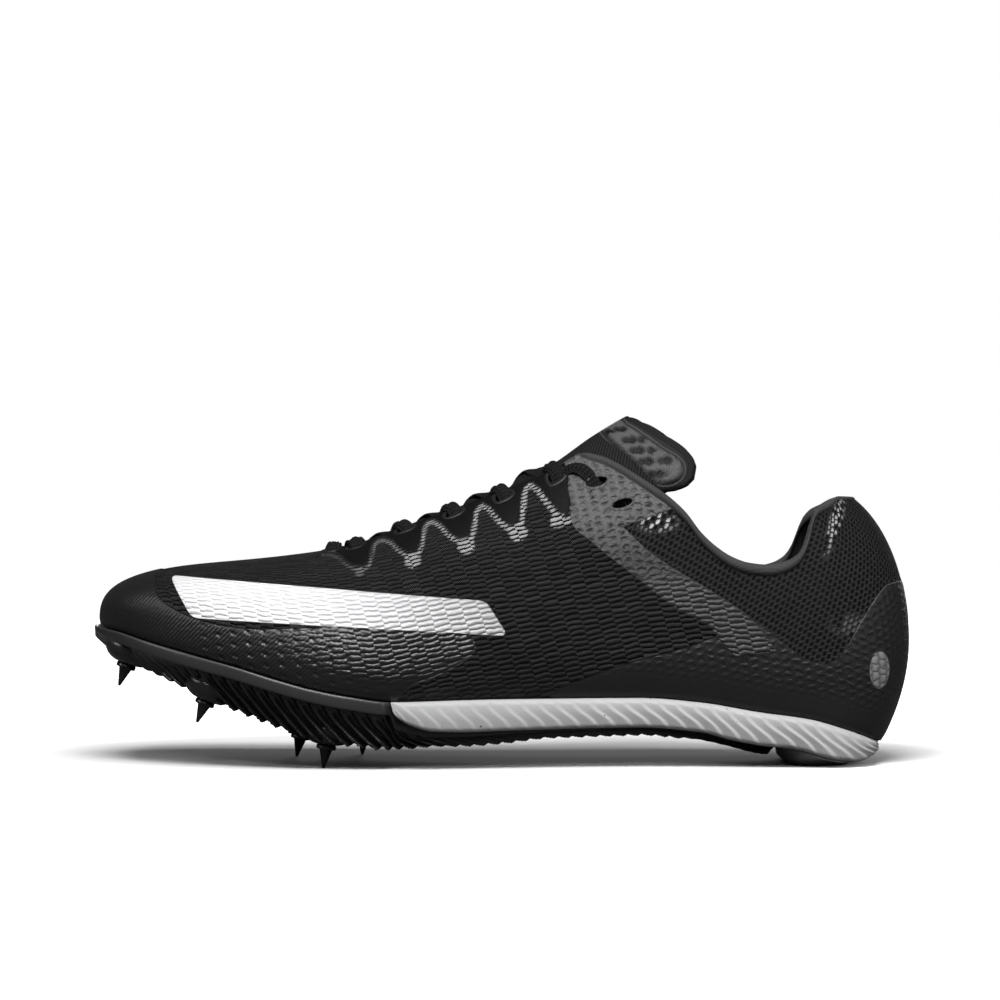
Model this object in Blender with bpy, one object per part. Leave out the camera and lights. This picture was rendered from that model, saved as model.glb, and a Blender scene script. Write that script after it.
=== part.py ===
"""Track spike shoe, left foot: a knitted upper over a foam midsole and a stiff spike plate with seven spikes.

The frame: +Z up, toe towards -X, lateral (outer) side towards -Y.
The origin is the middle of the flat spot under the heel, on the floor.
Sizes below are in millimetres. Tables hold shares of the named size that each column follows.
Every piece is a loop of stations round the foot. A station looks outwards from the spine of the last:
straight sideways along the foot (lap 0 at the heel pivot to 1 at the toe tip),
and in a fan round the heel (lap 0 at the side to -1 at the back).
"""

import math

import bmesh
import bpy
import numpy as np

MM = 0.001

# Overall sizes
LENGTH = 285.0          # shoe length, toe lip to heel curve
HEEL_OVERHANG = 32.4    # heel pivot to the rearmost point of the heel curve
HEEL_SEAT_REACH = 22.7  # heel pivot to the back of the upper's lower edge
BALL_WIDTH = 92.0       # widest part of the sole, across the ball
HEEL_WIDTH = 60.0       # upper's lower edge across the heel
INSTEP_HEIGHT = 116.0   # floor to the top of the instep at the top eyelets
SEAT_HEIGHT = 24.0      # floor to the upper's lower edge at the waist
TOE_SWING = 7.0         # how far the toe tip lies towards the big toe

# Walls and clearances
WALL = 1.6              # upper's wall
BINDING_STEP = 0.6      # how far the collar binding stands proud of the wall
BINDING_WIDTH = 4.0
GAP = 0.3               # between pieces that meet
LIP = 2.0               # plate and midsole stand this far outside the upper
HEEL_LIP = 0.4
RIM_HEIGHT = 2.8        # band round the top of the plate
OVERLAY = 0.5           # thickness of the fused overlays
OVERLAY_EDGE = 6.0      # lower edge of the overlays above the upper's lower edge

# Upper
THROAT_FRONT = 0.7200   # front end of the throat, share of LENGTH
THROAT_WIDTH = 19.0     # gap between the eyestays at the front
THROAT_SPREAD = 6.0     # how much wider the gap is at the top
THROAT_ROUND = 16.0     # length of the throat's rounded front end
EYELET_RADIUS = 1.9
EYELET_MARGIN = 5.0     # eyelet centre to the throat's edge
EYELET_SIDES = 6
BELLY_SHARE = 0.3       # rise parameter at which the wall is widest
TOE_ROUND_FROM = 0.834  # the toe starts to round down here, share of LENGTH
TOE_ROUND_POWER = 3.2
TOE_POWERS = {-1: 2.2, 1: 2.6}  # fullness of the toe outline, lateral and medial
HEEL_POWER = 2.2
BALL_LINE = 0.700       # widest place, share of LENGTH

# Sole
RIB_PITCH = 8.4         # ribs on the midsole's side
RIB_DEPTH = 0.9
RIB_LEAN = 9.0          # how far a rib runs back from its top to its foot
MIDSOLE_FRONT = 0.6295  # front end of the visible midsole, share of LENGTH
MIDSOLE_END_STATIONS = (-0.45, 0.0, 0.9, 3.4, 7.4, 12.5)  # where both pieces bend, behind that front end
FIN_PITCH = 9.0         # fins on the plate's side
FIN_DEPTH = 1.5
FIN_LEAN = 7.0
FIN_TOOTH = 1.3         # how far a fin reaches below the plate
PLATE_TAIL_GAP = 0.88   # back end of the plate in front of the heel pad
PLATE_TAIL_WIDTH = 42.0
PLATE_TAIL_REACH = 17.0
HEEL_PAD_LENGTH = 23.5
HEEL_PAD_WIDTH = 50.0
HEEL_PAD_BEVEL = 1.6
INSOLE_THICKNESS = 3.0
INSOLE_CLEARANCE = 1.1

# Spikes
SPIKE_LENGTH = 8.0      # tip to the boss it is screwed into
SPIKE_TIP_RADIUS = 0.55
SPIKE_CONE_RADIUS = 2.3
SPIKE_FLANGE_RADIUS = 3.4
SPIKE_FLANGE = 1.5
SPIKE_STEM_RADIUS = 2.2
SPIKE_STEM = 3.4
SPIKE_SIDES = 8
BOSS_FACE_RADIUS = 5.2
BOSS_ROOT_RADIUS = 9.0
BOSS_HEIGHT = 6.0
BOSS_SIDES = 8

# Tongue and laces
TONGUE_THICKNESS = 2.0
TONGUE_PAD = 1.4        # extra thickness of the padded top
TONGUE_CLEARANCE = 0.8
TONGUE_FRONT = 0.705    # share of LENGTH
TONGUE_TOP = 0.3382     # top edge on the centre line, share of LENGTH
TONGUE_WING = 21.0      # how far the corners reach behind the middle of the top edge
TONGUE_HALF_WIDTH = (15.0, 25.0)  # at the front and at the top
LACE_WIDTH = 5.0
LACE_THICKNESS = 1.3
LACE_CLEARANCE = 1.6    # above the upper, which leaves room over the collar binding
LACE_RISE = 0.55        # how far the strands of one direction ride above the others
LACE_END = 1.8          # how far a strand runs past the middle of its eyelet

# The last, from the back of the heel to the toe.
# along: share of LENGTH. ridge, belly: heights as shares of INSTEP_HEIGHT.
# lateral, medial: half widths of the lower edge as shares of BALL_WIDTH. swell: extra half width at the belly.
# power: 2 is an elliptical section, more is boxier.
LAST = {
    "along": (0.0000, 0.1123, 0.1825, 0.2596, 0.3382, 0.3849, 0.4386, 0.4982, 0.5614, 0.6211, 0.6947, 0.7632,
              0.8554, 0.9193, 1.0000),
    "ridge": (0.836, 0.836, 1.000, 1.150, 1.072, 1.006, 0.914, 0.838, 0.772, 0.714, 0.648, 0.622, 0.600, 0.588,
              0.572),
    "belly": (0.371, 0.371, 0.376, 0.384, 0.396, 0.398, 0.394, 0.384, 0.368, 0.345, 0.325, 0.340, 0.408, 0.445,
              0.466),
    "lateral": (0.326, 0.326, 0.324, 0.324, 0.333, 0.346, 0.372, 0.410, 0.450, 0.490, 0.513, 0.513, 0.513, 0.513,
                0.513),
    "medial": (0.326, 0.326, 0.314, 0.294, 0.268, 0.257, 0.262, 0.284, 0.330, 0.386, 0.443, 0.446, 0.446, 0.446,
               0.446),
    "swell": (0.12, 0.12, 0.13, 0.14, 0.15, 0.16, 0.16, 0.14, 0.10, 0.07, 0.04, 0.03, 0.03, 0.03, 0.03),
    "power": (2.0, 2.0, 1.95, 1.88, 1.86, 1.86, 1.88, 1.92, 1.98, 2.05, 2.15, 2.25, 2.4, 2.5, 2.5),
}

# Height of the upper's lower edge. along: share of LENGTH. seat: share of SEAT_HEIGHT.
SEAT = {
    "along": (0.0325, 0.0544, 0.0828, 0.1298, 0.1895, 0.2614, 0.3333, 0.4982, 0.6274, 0.6807, 0.7246, 0.7684,
              0.8140, 0.8491, 0.9291, 0.9632, 1.0000),
    "seat": (0.310, 0.413, 0.542, 0.704, 0.804, 0.945, 1.010, 1.008, 0.985, 1.067, 1.171, 1.313, 1.475, 1.583,
             1.829, 1.938, 2.000),
}

# Midsole thickness at its edge, as a share of SEAT_HEIGHT.
MIDSOLE = {
    "along": (0.0325, 0.0421, 0.0702, 0.0772, 0.1123, 0.1509, 0.1895, 0.2246, 0.2596, 0.3333, 0.4842, 0.5333,
              0.5789, 0.6035, 0.6175, 0.6263, 0.6295),
    "thick": (0.060, 0.150, 0.395, 0.420, 0.490, 0.455, 0.468, 0.463, 0.418, 0.415, 0.440, 0.450, 0.425, 0.345,
              0.255, 0.150, 0.000),
}
# Height of the footbed on its centre line, as a share of SEAT_HEIGHT.
FOOTBED = {
    "along": (0.0, 0.10, 0.19, 0.26, 0.33, 0.50, 0.60, 0.70, 0.77, 0.85, 0.93, 1.0),
    "bed": (0.65, 0.65, 0.69, 0.77, 0.84, 0.89, 0.89, 0.91, 1.11, 1.42, 1.72, 1.96),
}
FOOTBED_EDGE = 0.82     # share of the way out where the footbed meets the seat of the upper

# Underside of the plate, as a share of SEAT_HEIGHT above the floor.
PLATE = {
    "along": (0.1579, 0.1895, 0.2246, 0.2596, 0.3333, 0.4386, 0.4982, 0.5684, 0.6281, 0.6737, 0.7228, 0.7684,
              0.8140, 0.8596, 0.9123, 0.9544, 1.0000),
    "under": (0.060, 0.100, 0.190, 0.285, 0.410, 0.420, 0.355, 0.325, 0.333, 0.385, 0.480, 0.665, 0.875, 1.085,
              1.330, 1.520, 1.840),
    "foot": (0.80, 0.80, 0.82, 0.86, 0.90, 0.92, 0.90, 0.86, 0.84, 0.82, 0.80, 0.80, 0.80, 0.80, 0.80, 0.80, 0.80),
}

# Collar edge. along: share of LENGTH. height: share of INSTEP_HEIGHT.
COLLAR = {
    "along": (0.0500, 0.0840, 0.0947, 0.1123, 0.1218, 0.1337, 0.1432, 0.1600, 0.1789, 0.2032, 0.2235, 0.2414,
              0.2596, 0.2772, 0.2989, 0.3193, 0.3396, 0.3589, 0.3793, 0.3996, 0.42),
    "height": (0.805, 0.802, 0.796, 0.777, 0.752, 0.668, 0.632, 0.609, 0.600, 0.606, 0.624, 0.653, 0.695, 0.753,
               0.803, 0.838, 0.871, 0.900, 0.922, 0.930, 0.930),
}
COLLAR_FAN = 15.0       # the collar table is read this far behind the pivot at the back of the fan
COLLAR_MEDIAL_DROP = 1.6

# Eyelets, as shares of LENGTH: seven laced rows and one spare row.
EYELETS = {
    "along": (0.7050, 0.6750, 0.6150, 0.5560, 0.4960, 0.4320, 0.3840, 0.3540),
    "margin": (1.0, 1.0, 1.0, 1.0, 1.05, 1.2, 2.1, 2.9),
}
LACED_ROWS = 7

# Spikes. along: share of LENGTH at the tip. across: share of BALL_WIDTH, medial positive.
# lean: degrees towards the toe. lift: height of the tip above the floor, share of SEAT_HEIGHT.
SPIKES = {
    "name": ("toe_lateral", "toe_medial", "front_lateral", "front_medial", "ball_middle", "ball_lateral",
             "ball_medial"),
    "along": (0.9639, 0.9740, 0.8643, 0.8745, 0.7547, 0.7120, 0.6740),
    "across": (-0.130, 0.190, -0.300, 0.325, 0.225, -0.335, 0.330),
    "lean": (20.0, 20.0, 22.0, 22.0, 11.0, 8.0, 4.0),
    "lift": (1.125, 1.170, 0.633, 0.680, 0.0, 0.0, 0.0),
}

# Saddle overlay in the side view. along: share of LENGTH. low, high: its edges as shares of INSTEP_HEIGHT.
SADDLE = {"along": (0.193, 0.243, 0.285, 0.330, 0.362, 0.390, 0.420),
          "low": (0.405, 0.405, 0.467, 0.545, 0.600, 0.665, 0.740),
          "high": (0.425, 0.520, 0.575, 0.665, 0.745, 0.755, 0.760)}
# Heel counter. lap: station, from the side to the back of the heel. height: share of INSTEP_HEIGHT.
COUNTER = {"lap": (0.11, 0.06, 0.0, -0.2, -0.4, -0.6, -0.8, -1.0),
           "height": (0.30, 0.31, 0.325, 0.37, 0.47, 0.535, 0.555, 0.56)}
TOE_CAP = {"back": 0.905, "low": 0.08}

HEEL_BACK = HEEL_OVERHANG
TOE_LIP = HEEL_BACK - LENGTH
TOE_TIP = TOE_LIP + LIP
PLATE_PIVOT = -HEEL_PAD_LENGTH / 2 - PLATE_TAIL_GAP - PLATE_TAIL_REACH
SIDES = (-1, 1)


def along_x(share):
    """World X of a share of the shoe's length, measured from the back of the heel."""
    return HEEL_BACK - np.asarray(share, float) * LENGTH


def smooth_table(table, name, x):
    """A column read at world X along a curve through its rows that never overshoots them."""
    xs, ys = np.array(table["along"], float), np.array(table[name], float)
    at = np.clip((HEEL_BACK - np.asarray(x, float)) / LENGTH, xs[0], xs[-1])
    step = np.diff(xs)
    rise = np.diff(ys) / step
    slope = np.zeros(len(xs))
    same = rise[:-1] * rise[1:] > 0
    weight_a, weight_b = 2 * step[1:] + step[:-1], step[1:] + 2 * step[:-1]
    with np.errstate(divide="ignore", invalid="ignore"):
        mean = (weight_a + weight_b) / (weight_a / rise[:-1] + weight_b / rise[1:])
    slope[1:-1] = np.where(same, np.nan_to_num(mean), 0.0)
    slope[0], slope[-1] = rise[0], rise[-1]
    i = np.clip(np.searchsorted(xs, at, side="right") - 1, 0, len(xs) - 2)
    h = step[i]
    t = (at - xs[i]) / h
    return ((1 + 2 * t) * (1 - t) ** 2 * ys[i] + t * (1 - t) ** 2 * h * slope[i]
            + t * t * (3 - 2 * t) * ys[i + 1] + t * t * (t - 1) * h * slope[i + 1])


def toe_factor(side, x, tip):
    """How much of the ball's half width is left at X, by a superellipse from the ball line to the toe tip."""
    ball = along_x(BALL_LINE)
    share = np.clip((ball - x) / (ball - tip), 0.0, 1.0)
    power = TOE_POWERS[side]
    return (1 - share ** power) ** (1 / power)


def spine_y(x):
    """The centre line, which swings towards the big toe in front of the ball."""
    ball = along_x(BALL_LINE)
    return TOE_SWING * np.clip((ball - x) / (ball - TOE_LIP), 0.0, 1.0) ** 2


def seat_z(x):
    return SEAT_HEIGHT * smooth_table(SEAT, "seat", x)


def half_width(side, x, swell, inset, tip):
    """Half width of the last at X, swollen by a share of itself and then drawn in by the inset."""
    column = "lateral" if side < 0 else "medial"
    base = BALL_WIDTH * smooth_table(LAST, column, np.maximum(x, along_x(BALL_LINE)))
    heel_fit = np.clip(smooth_fade(x, 40.0, 80.0), 0, 1)
    heel_scale = HEEL_WIDTH / 60.0
    base = base * (heel_scale + (1 - heel_scale) * heel_fit)
    return (base * (1 + swell) - inset) * toe_factor(side, x, tip)


def smooth_fade(x, start, length):
    """0 behind the start (millimetres in front of the pivot), 1 in front of start + length."""
    t = np.clip((-np.asarray(x, float) - start) / length, 0.0, 1.0)
    return t * t * (3 - 2 * t)


def oval(cos_t, sin_t, back, side_width, power):
    """Distance from the pivot to a superellipse with these two reaches."""
    wide = np.maximum(side_width, 1e-9)
    reach = ((np.abs(cos_t) / back) ** power + (np.abs(sin_t) / wide) ** power) ** (-1 / power)
    return np.where(np.asarray(side_width) <= 1e-6, 0.0, reach)


def frames(side, lap, tip, pivot=0.0):
    """Spine point and outward direction of each station."""
    lap = np.asarray(lap, float)
    theta = (1 + np.clip(lap, -1, 0)) * math.pi / 2
    cos_t, sin_t = np.where(lap >= 0, 0.0, np.cos(theta)), np.where(lap >= 0, 1.0, np.sin(theta))
    x = pivot + (tip - pivot) * np.clip(lap, 0, 1)
    return x, spine_y(x), cos_t, side * sin_t


def section(side, lap, inset=0.0):
    """Sizes of the last's section at each station, drawn in by the inset."""
    tip = TOE_TIP + inset
    cx, cy, dx, dy = frames(side, lap, tip)
    swell = smooth_table(LAST, "swell", cx)
    foot = oval(dx, dy, HEEL_SEAT_REACH - inset, half_width(side, cx, 0.0, inset, tip), HEEL_POWER)
    wide = oval(dx, dy, HEEL_OVERHANG - inset, half_width(side, cx, swell, inset, tip), 2.0)
    low = seat_z(cx + dx * foot)
    ease = toe_fall(cx, tip)
    belly = low + (INSTEP_HEIGHT * smooth_table(LAST, "belly", cx) - low) * ease
    top = low + (INSTEP_HEIGHT * smooth_table(LAST, "ridge", cx) - inset - low) * ease
    return {"cx": cx, "cy": cy, "dx": dx, "dy": dy, "foot": foot, "wide": wide, "low": low, "belly": belly,
            "top": top, "power": smooth_table(LAST, "power", cx)}


def toe_fall(x, tip):
    """The toe box rounds down to nothing at the tip."""
    start = along_x(TOE_ROUND_FROM)
    share = np.clip((start - x) / (start - tip), 0.0, 1.0)
    return (1 - share ** TOE_ROUND_POWER) ** (1 / TOE_ROUND_POWER)


def skin(s, rise):
    """Points of the last: rise 0 at the lower edge, BELLY_SHARE at the widest line, 1 at the ridge."""
    rise = np.asarray(rise, float)
    low = np.clip(rise / BELLY_SHARE, 0, 1)
    angle = np.clip((rise - BELLY_SHARE) / (1 - BELLY_SHARE), 0, 1) * math.pi / 2
    cos_a, sin_a = np.clip(np.cos(angle), 0, 1), np.sin(angle)
    out = np.where(rise < BELLY_SHARE, s["wide"] - (s["wide"] - s["foot"]) * (1 - low) ** 2,
                   s["wide"] * cos_a ** (2 / s["power"]))
    out = np.where(rise >= 1, 0.0, out)
    z = np.where(rise < BELLY_SHARE, s["low"] + (s["belly"] - s["low"]) * low,
                 s["belly"] + (s["top"] - s["belly"]) * sin_a ** (2 / s["power"]))
    return np.stack([s["cx"] + s["dx"] * out, s["cy"] + s["dy"] * out, z], -1)


def rise_at_height(s, z):
    """Rise at which the last reaches a height above the belly."""
    share = np.clip((z - s["belly"]) / np.maximum(s["top"] - s["belly"], 1e-6), 0, 1)
    return BELLY_SHARE + (1 - BELLY_SHARE) * np.arcsin(share ** (s["power"] / 2)) / (math.pi / 2)


def rise_at_distance(s, out):
    """Rise at which the last is this far from its spine."""
    share = np.clip(out / np.maximum(s["wide"], 1e-6), 0, 1)
    return BELLY_SHARE + (1 - BELLY_SHARE) * np.arccos(share ** (s["power"] / 2)) / (math.pi / 2)


def throat_half(x):
    """Half width of the throat at X; 0 in front of it."""
    front, top = along_x(THROAT_FRONT), along_x(COLLAR["along"][-1])
    share = np.clip((x - front) / (top - front), 0, 1)
    half = (THROAT_WIDTH + THROAT_SPREAD * share) / 2
    nose = np.clip((x - front) / THROAT_ROUND, 0, 1)
    return half * np.sqrt(np.clip(1 - (1 - nose) ** 2, 0, 1))


def open_rise(s):
    """Rise of the upper's top edge: the throat's side, the collar, or 1 where the vamp is closed."""
    by_throat = rise_at_distance(s, throat_half(s["cx"]))
    read_at = s["cx"] + s["dx"] * COLLAR_FAN
    drop = COLLAR_MEDIAL_DROP * (s["dy"] > 0) * s["dy"] * (1 - smooth_fade(s["cx"], 40.0, 30.0))
    by_collar = rise_at_height(s, INSTEP_HEIGHT * smooth_table(COLLAR, "height", read_at) - drop)
    behind = s["cx"] > along_x(COLLAR["along"][-1])
    return np.where(behind, np.minimum(by_throat, by_collar), by_throat)


def spread_laps(count, front=TOE_TIP, extra=()):
    """Laps from the pivot to the toe tip, closer together at the toe, the throat's nose and the heel."""
    x = np.linspace(0.0, front, 800)
    weight = 1 + 2.2 * np.exp(-((x - front) / 9.0) ** 2) + 1.6 * np.exp(-(x / 14.0) ** 2)
    weight += 1.2 * np.exp(-((x - along_x(THROAT_FRONT) - 3) / 7.0) ** 2)
    total = np.concatenate([[0], np.cumsum((weight[1:] + weight[:-1]) / 2)])
    laps = np.interp(np.linspace(0, total[-1], count + 1), total, x / front)
    return np.unique(np.concatenate([laps, extra])) if len(extra) else laps


def loop_of(side_laps, fan_count):
    """The whole loop: toe tip, lateral side, round the heel, medial side, back to the toe tip."""
    ahead = list(side_laps[::-1])
    fan = list(-np.linspace(0, 1, fan_count + 1)[1:])
    lateral = [(-1, lap) for lap in ahead + fan]
    medial = [(1, lap) for lap in (ahead + fan)[:-1]][::-1]
    return lateral + medial


def on_loop(loop, maker):
    """Calls maker(side, laps) for each side and puts the rows back in loop order."""
    laps = {side: np.array([lap for s, lap in loop if s == side]) for side in SIDES}
    made = {side: maker(side, laps[side]) for side in SIDES}
    seen = {side: 0 for side in SIDES}
    rows = []
    for side, _ in loop:
        rows.append(made[side][seen[side]])
        seen[side] += 1
    return np.array(rows)


def new_object(name, verts, faces, material, smooth_angle=35.0, weld=0.004):
    """A named object from millimetre points, welded, with its faces pointing out."""
    mesh = bpy.data.meshes.new(name)
    mesh.from_pydata([tuple(v) for v in np.asarray(verts, float) * MM], [], faces)
    bm = bmesh.new()
    bm.from_mesh(mesh)
    bmesh.ops.remove_doubles(bm, verts=bm.verts, dist=weld * MM)
    bmesh.ops.dissolve_degenerate(bm, edges=bm.edges, dist=weld * MM / 4)
    bmesh.ops.triangulate(bm, faces=bm.faces)
    bmesh.ops.recalc_face_normals(bm, faces=bm.faces)
    bm.to_mesh(mesh)
    bm.free()
    mesh.shade_smooth()
    mesh.set_sharp_from_angle(angle=math.radians(smooth_angle))
    obj = bpy.data.objects.new(name, mesh)
    bpy.context.scene.collection.objects.link(obj)
    if material:
        mesh.materials.append(material)
    return obj


def material(name, colour, roughness, metallic=0.0):
    made = bpy.data.materials.new(name)
    made.use_nodes = True
    shader = made.node_tree.nodes["Principled BSDF"]
    shader.inputs["Base Color"].default_value = (*colour, 1.0)
    shader.inputs["Roughness"].default_value = roughness
    shader.inputs["Metallic"].default_value = metallic
    made.diffuse_color = (*colour, 1.0)
    return made


def grid_faces(rows, columns, close_rows, close_columns=False):
    """Quads of a grid of points, with the first row or column joined to the last where asked."""
    faces = []
    for i in range(rows if close_rows else rows - 1):
        for j in range(columns if close_columns else columns - 1):
            a, b = i * columns, ((i + 1) % rows) * columns
            k = (j + 1) % columns
            faces.append((a + j, b + j, b + k, a + k))
    return faces


def boolean(target, cutter, operation):
    """Applies an exact Boolean and removes the cutter."""
    modifier = target.modifiers.new(operation.lower(), "BOOLEAN")
    modifier.operation = operation
    modifier.solver = "EXACT"
    modifier.use_self = operation == "UNION"
    modifier.object = cutter
    evaluated = target.evaluated_get(bpy.context.evaluated_depsgraph_get())
    mesh = bpy.data.meshes.new_from_object(evaluated)
    target.modifiers.clear()
    old = target.data
    target.data = mesh
    mesh.name = target.name
    bpy.data.meshes.remove(old)
    bpy.data.objects.remove(cutter)
    bm = bmesh.new()
    bm.from_mesh(mesh)
    bmesh.ops.remove_doubles(bm, verts=bm.verts, dist=0.002 * MM)
    bmesh.ops.dissolve_degenerate(bm, edges=bm.edges, dist=0.001 * MM)
    bmesh.ops.triangulate(bm, faces=bm.faces)
    bm.to_mesh(mesh)
    bm.free()
    mesh.shade_smooth()
    mesh.set_sharp_from_angle(angle=math.radians(35.0))


def keep_outer_shell(obj):
    """Removes the shells that a join leaves sealed inside an object."""
    bm = bmesh.new()
    bm.from_mesh(obj.data)
    left, shells = set(bm.faces), []
    while left:
        front = [left.pop()]
        shell = list(front)
        while front:
            near = {other for edge in front.pop().edges for other in edge.link_faces} & left
            left -= near
            front += near
            shell += near
        shells.append(shell)
    largest = max(shells, key=lambda shell: sum(face.calc_area() for face in shell))
    bmesh.ops.delete(bm, geom=[face for shell in shells if shell is not largest for face in shell],
                     context="FACES")
    bm.to_mesh(obj.data)
    bm.free()


def turned(centre, axis, profile, sides):
    """Points and faces of a closed solid turned from (distance along axis, radius) pairs."""
    axis = np.array(axis, float) / np.linalg.norm(axis)
    across = np.cross(axis, (0.0, 1.0, 0.0))
    across /= np.linalg.norm(across)
    up = np.cross(axis, across)
    verts, faces = [], []
    for along, radius in profile:
        for k in range(sides):
            turn = 2 * math.pi * k / sides
            verts.append(np.array(centre) + axis * along
                         + radius * (math.cos(turn) * across + math.sin(turn) * up))
    for i in range(len(profile) - 1):
        for k in range(sides):
            j = (k + 1) % sides
            faces.append((i * sides + k, i * sides + j, (i + 1) * sides + j, (i + 1) * sides + k))
    faces.append(tuple(range(sides))[::-1])
    faces.append(tuple(range((len(profile) - 1) * sides, len(profile) * sides)))
    return verts, faces


def joined(solids):
    """Several (points, faces) pairs as one."""
    verts, faces = [], []
    for points, polygons in solids:
        start = len(verts)
        verts += list(points)
        faces += [tuple(start + i for i in p) for p in polygons]
    return verts, faces


# Upper

UPPER_SIDE_COUNT = 35
UPPER_FAN_COUNT = 9
UPPER_OUTER_SHARES = (0.0, 0.13, 0.28, 0.42, 0.56, 0.69, 0.81, 0.91)
UPPER_INNER_SHARES = (1.0, 0.85, 0.68, 0.5, 0.32, 0.15, 0.0)


def edge_shares(s, edge, distance):
    """Share of the way up at which the skin is this far below the top edge."""
    near = skin(s, edge * 0.96)
    at = skin(s, edge)
    per_share = np.linalg.norm(at - near, axis=-1) / 0.04
    return 1 - np.clip(distance / np.maximum(per_share, 1e-6), 0, 0.08)


def upper_rows(side, laps):
    """One ring of the upper's wall per station: up the outside, over the edge, down the inside."""
    outer, inner = section(side, laps), section(side, laps, WALL)
    proud = section(side, laps, -BINDING_STEP)
    edge = open_rise(outer)
    height = skin(outer, edge)[:, 2]
    reach = np.hypot(*(skin(outer, edge)[:, :2] - np.stack([outer["cx"], outer["cy"]], -1)).T)
    opened = edge < 0.9999
    behind = outer["cx"] > along_x(COLLAR["along"][-1]) - 1.0
    rows = [skin(outer, edge * share) for share in UPPER_OUTER_SHARES]
    foot_of_binding = edge_shares(outer, edge, BINDING_WIDTH)
    foot_of_binding = np.where(behind, foot_of_binding, 1 - (1 - foot_of_binding) * 0.5)
    step = np.where(behind & opened, 1.0, 0.0)[:, None]
    rows.append(skin(outer, edge * foot_of_binding))
    share = edge * (foot_of_binding * 0.85 + 0.15)
    rows.append(skin(proud, share) * step + skin(outer, share) * (1 - step))
    top_out = skin(outer, edge)
    rows.append(skin(proud, edge) * step + top_out * (1 - step))
    by_reach = rise_at_distance(inner, reach)
    by_height = rise_at_height(inner, height)
    inner_edge = np.where(opened, np.where(behind, by_height, by_reach), 1.0)
    rows += [skin(inner, inner_edge * share) for share in UPPER_INNER_SHARES]
    return np.stack(rows, 1)


def build_upper(knit):
    loop = loop_of(spread_laps(UPPER_SIDE_COUNT), UPPER_FAN_COUNT)
    rings = on_loop(loop, upper_rows)
    count, ring = rings.shape[:2]
    outer_count = ring - len(UPPER_INNER_SHARES)
    opened = on_loop(loop, lambda side, laps: (open_rise(section(side, laps)) < 0.9999).astype(float))
    faces = []
    for i in range(count):
        n = (i + 1) % count
        for j in range(ring):
            k = (j + 1) % ring
            if j == outer_count - 1 and not (opened[i] or opened[n]):
                continue
            faces.append((i * ring + j, n * ring + j, n * ring + k, i * ring + k))
    upper = new_object("upper", rings.reshape(-1, 3), faces, knit, 50.0, 0.02)
    boolean(upper, new_object("eyelet_cutters", *joined(eyelet_cutters()), None), "DIFFERENCE")
    return upper


def below_edge(side, x, distance):
    """The point of the upper at world X this far down its skin from the top edge, and the outward normal."""
    s = section(side, np.array([x / TOE_TIP]))
    rises = np.linspace(1.0, 0.3, 90) * float(open_rise(s)[0])
    path = np.array([skin(s, rise)[0] for rise in rises])
    run = np.concatenate([[0], np.cumsum(np.linalg.norm(np.diff(path, axis=0), axis=1))])
    rise = float(np.interp(distance, run, rises))
    here, lower = skin(s, rise)[0], skin(s, rise - 0.01)[0]
    ahead = skin(section(side, np.array([(x - 1.0) / TOE_TIP])), rise)[0]
    normal = np.cross(lower - here, ahead - here)
    normal = normal / np.linalg.norm(normal)
    return here, normal if normal[2] > 0 else -normal


def eyelet_places():
    """(row, side, point, normal) of every eyelet."""
    places = []
    for row, (share, margin) in enumerate(zip(EYELETS["along"], EYELETS["margin"])):
        x = float(along_x(share))
        for side in SIDES:
            point, normal = below_edge(side, x, EYELET_MARGIN * margin)
            places.append((row, side, point, normal))
    return places


def eyelet_cutters():
    reach = 3 * WALL
    return [turned(point - normal * reach, normal, [(0, EYELET_RADIUS), (2 * reach, EYELET_RADIUS)], EYELET_SIDES)
            for _, _, point, normal in eyelet_places()]


# Sole

def footbed_z(x, share):
    """Top of the sole at a share of the way out to its edge: level at the seat, a dished or raised bed inside."""
    bed, seat = SEAT_HEIGHT * smooth_table(FOOTBED, "bed", x), seat_z(x)
    inner = np.clip(share / FOOTBED_EDGE, 0, 1)
    dished = seat + (bed - seat) * (1 - inner ** 2) ** 1.5
    raised = np.where(np.asarray(share) <= FOOTBED_EDGE + 0.001, bed, seat)
    return np.where(bed > seat, raised, dished) - GAP


def midsole_depth(x, share):
    """Thickness of the midsole, a little less towards the spine; 0 in front of its end."""
    thick = SEAT_HEIGHT * smooth_table(MIDSOLE, "thick", x)
    return np.where(np.asarray(x) < along_x(MIDSOLE_FRONT), 0.0, thick) * (0.72 + 0.28 * np.clip(share, 0, 1) ** 2)


MIDSOLE_RINGS = ((0.0, 0.0), (0.42, 0.0), (0.82, 0.0), (0.885, 0.0), (1.0, 0.0), (1.0, 0.22), (1.0, 0.75),
                 (1.0, 0.97), (0.885, 1.0), (0.82, 1.0), (0.42, 1.0), (0.0, 1.0))


MIDSOLE_FAN_COUNT = 11
PLATE_FAN_COUNT = 6


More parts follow.
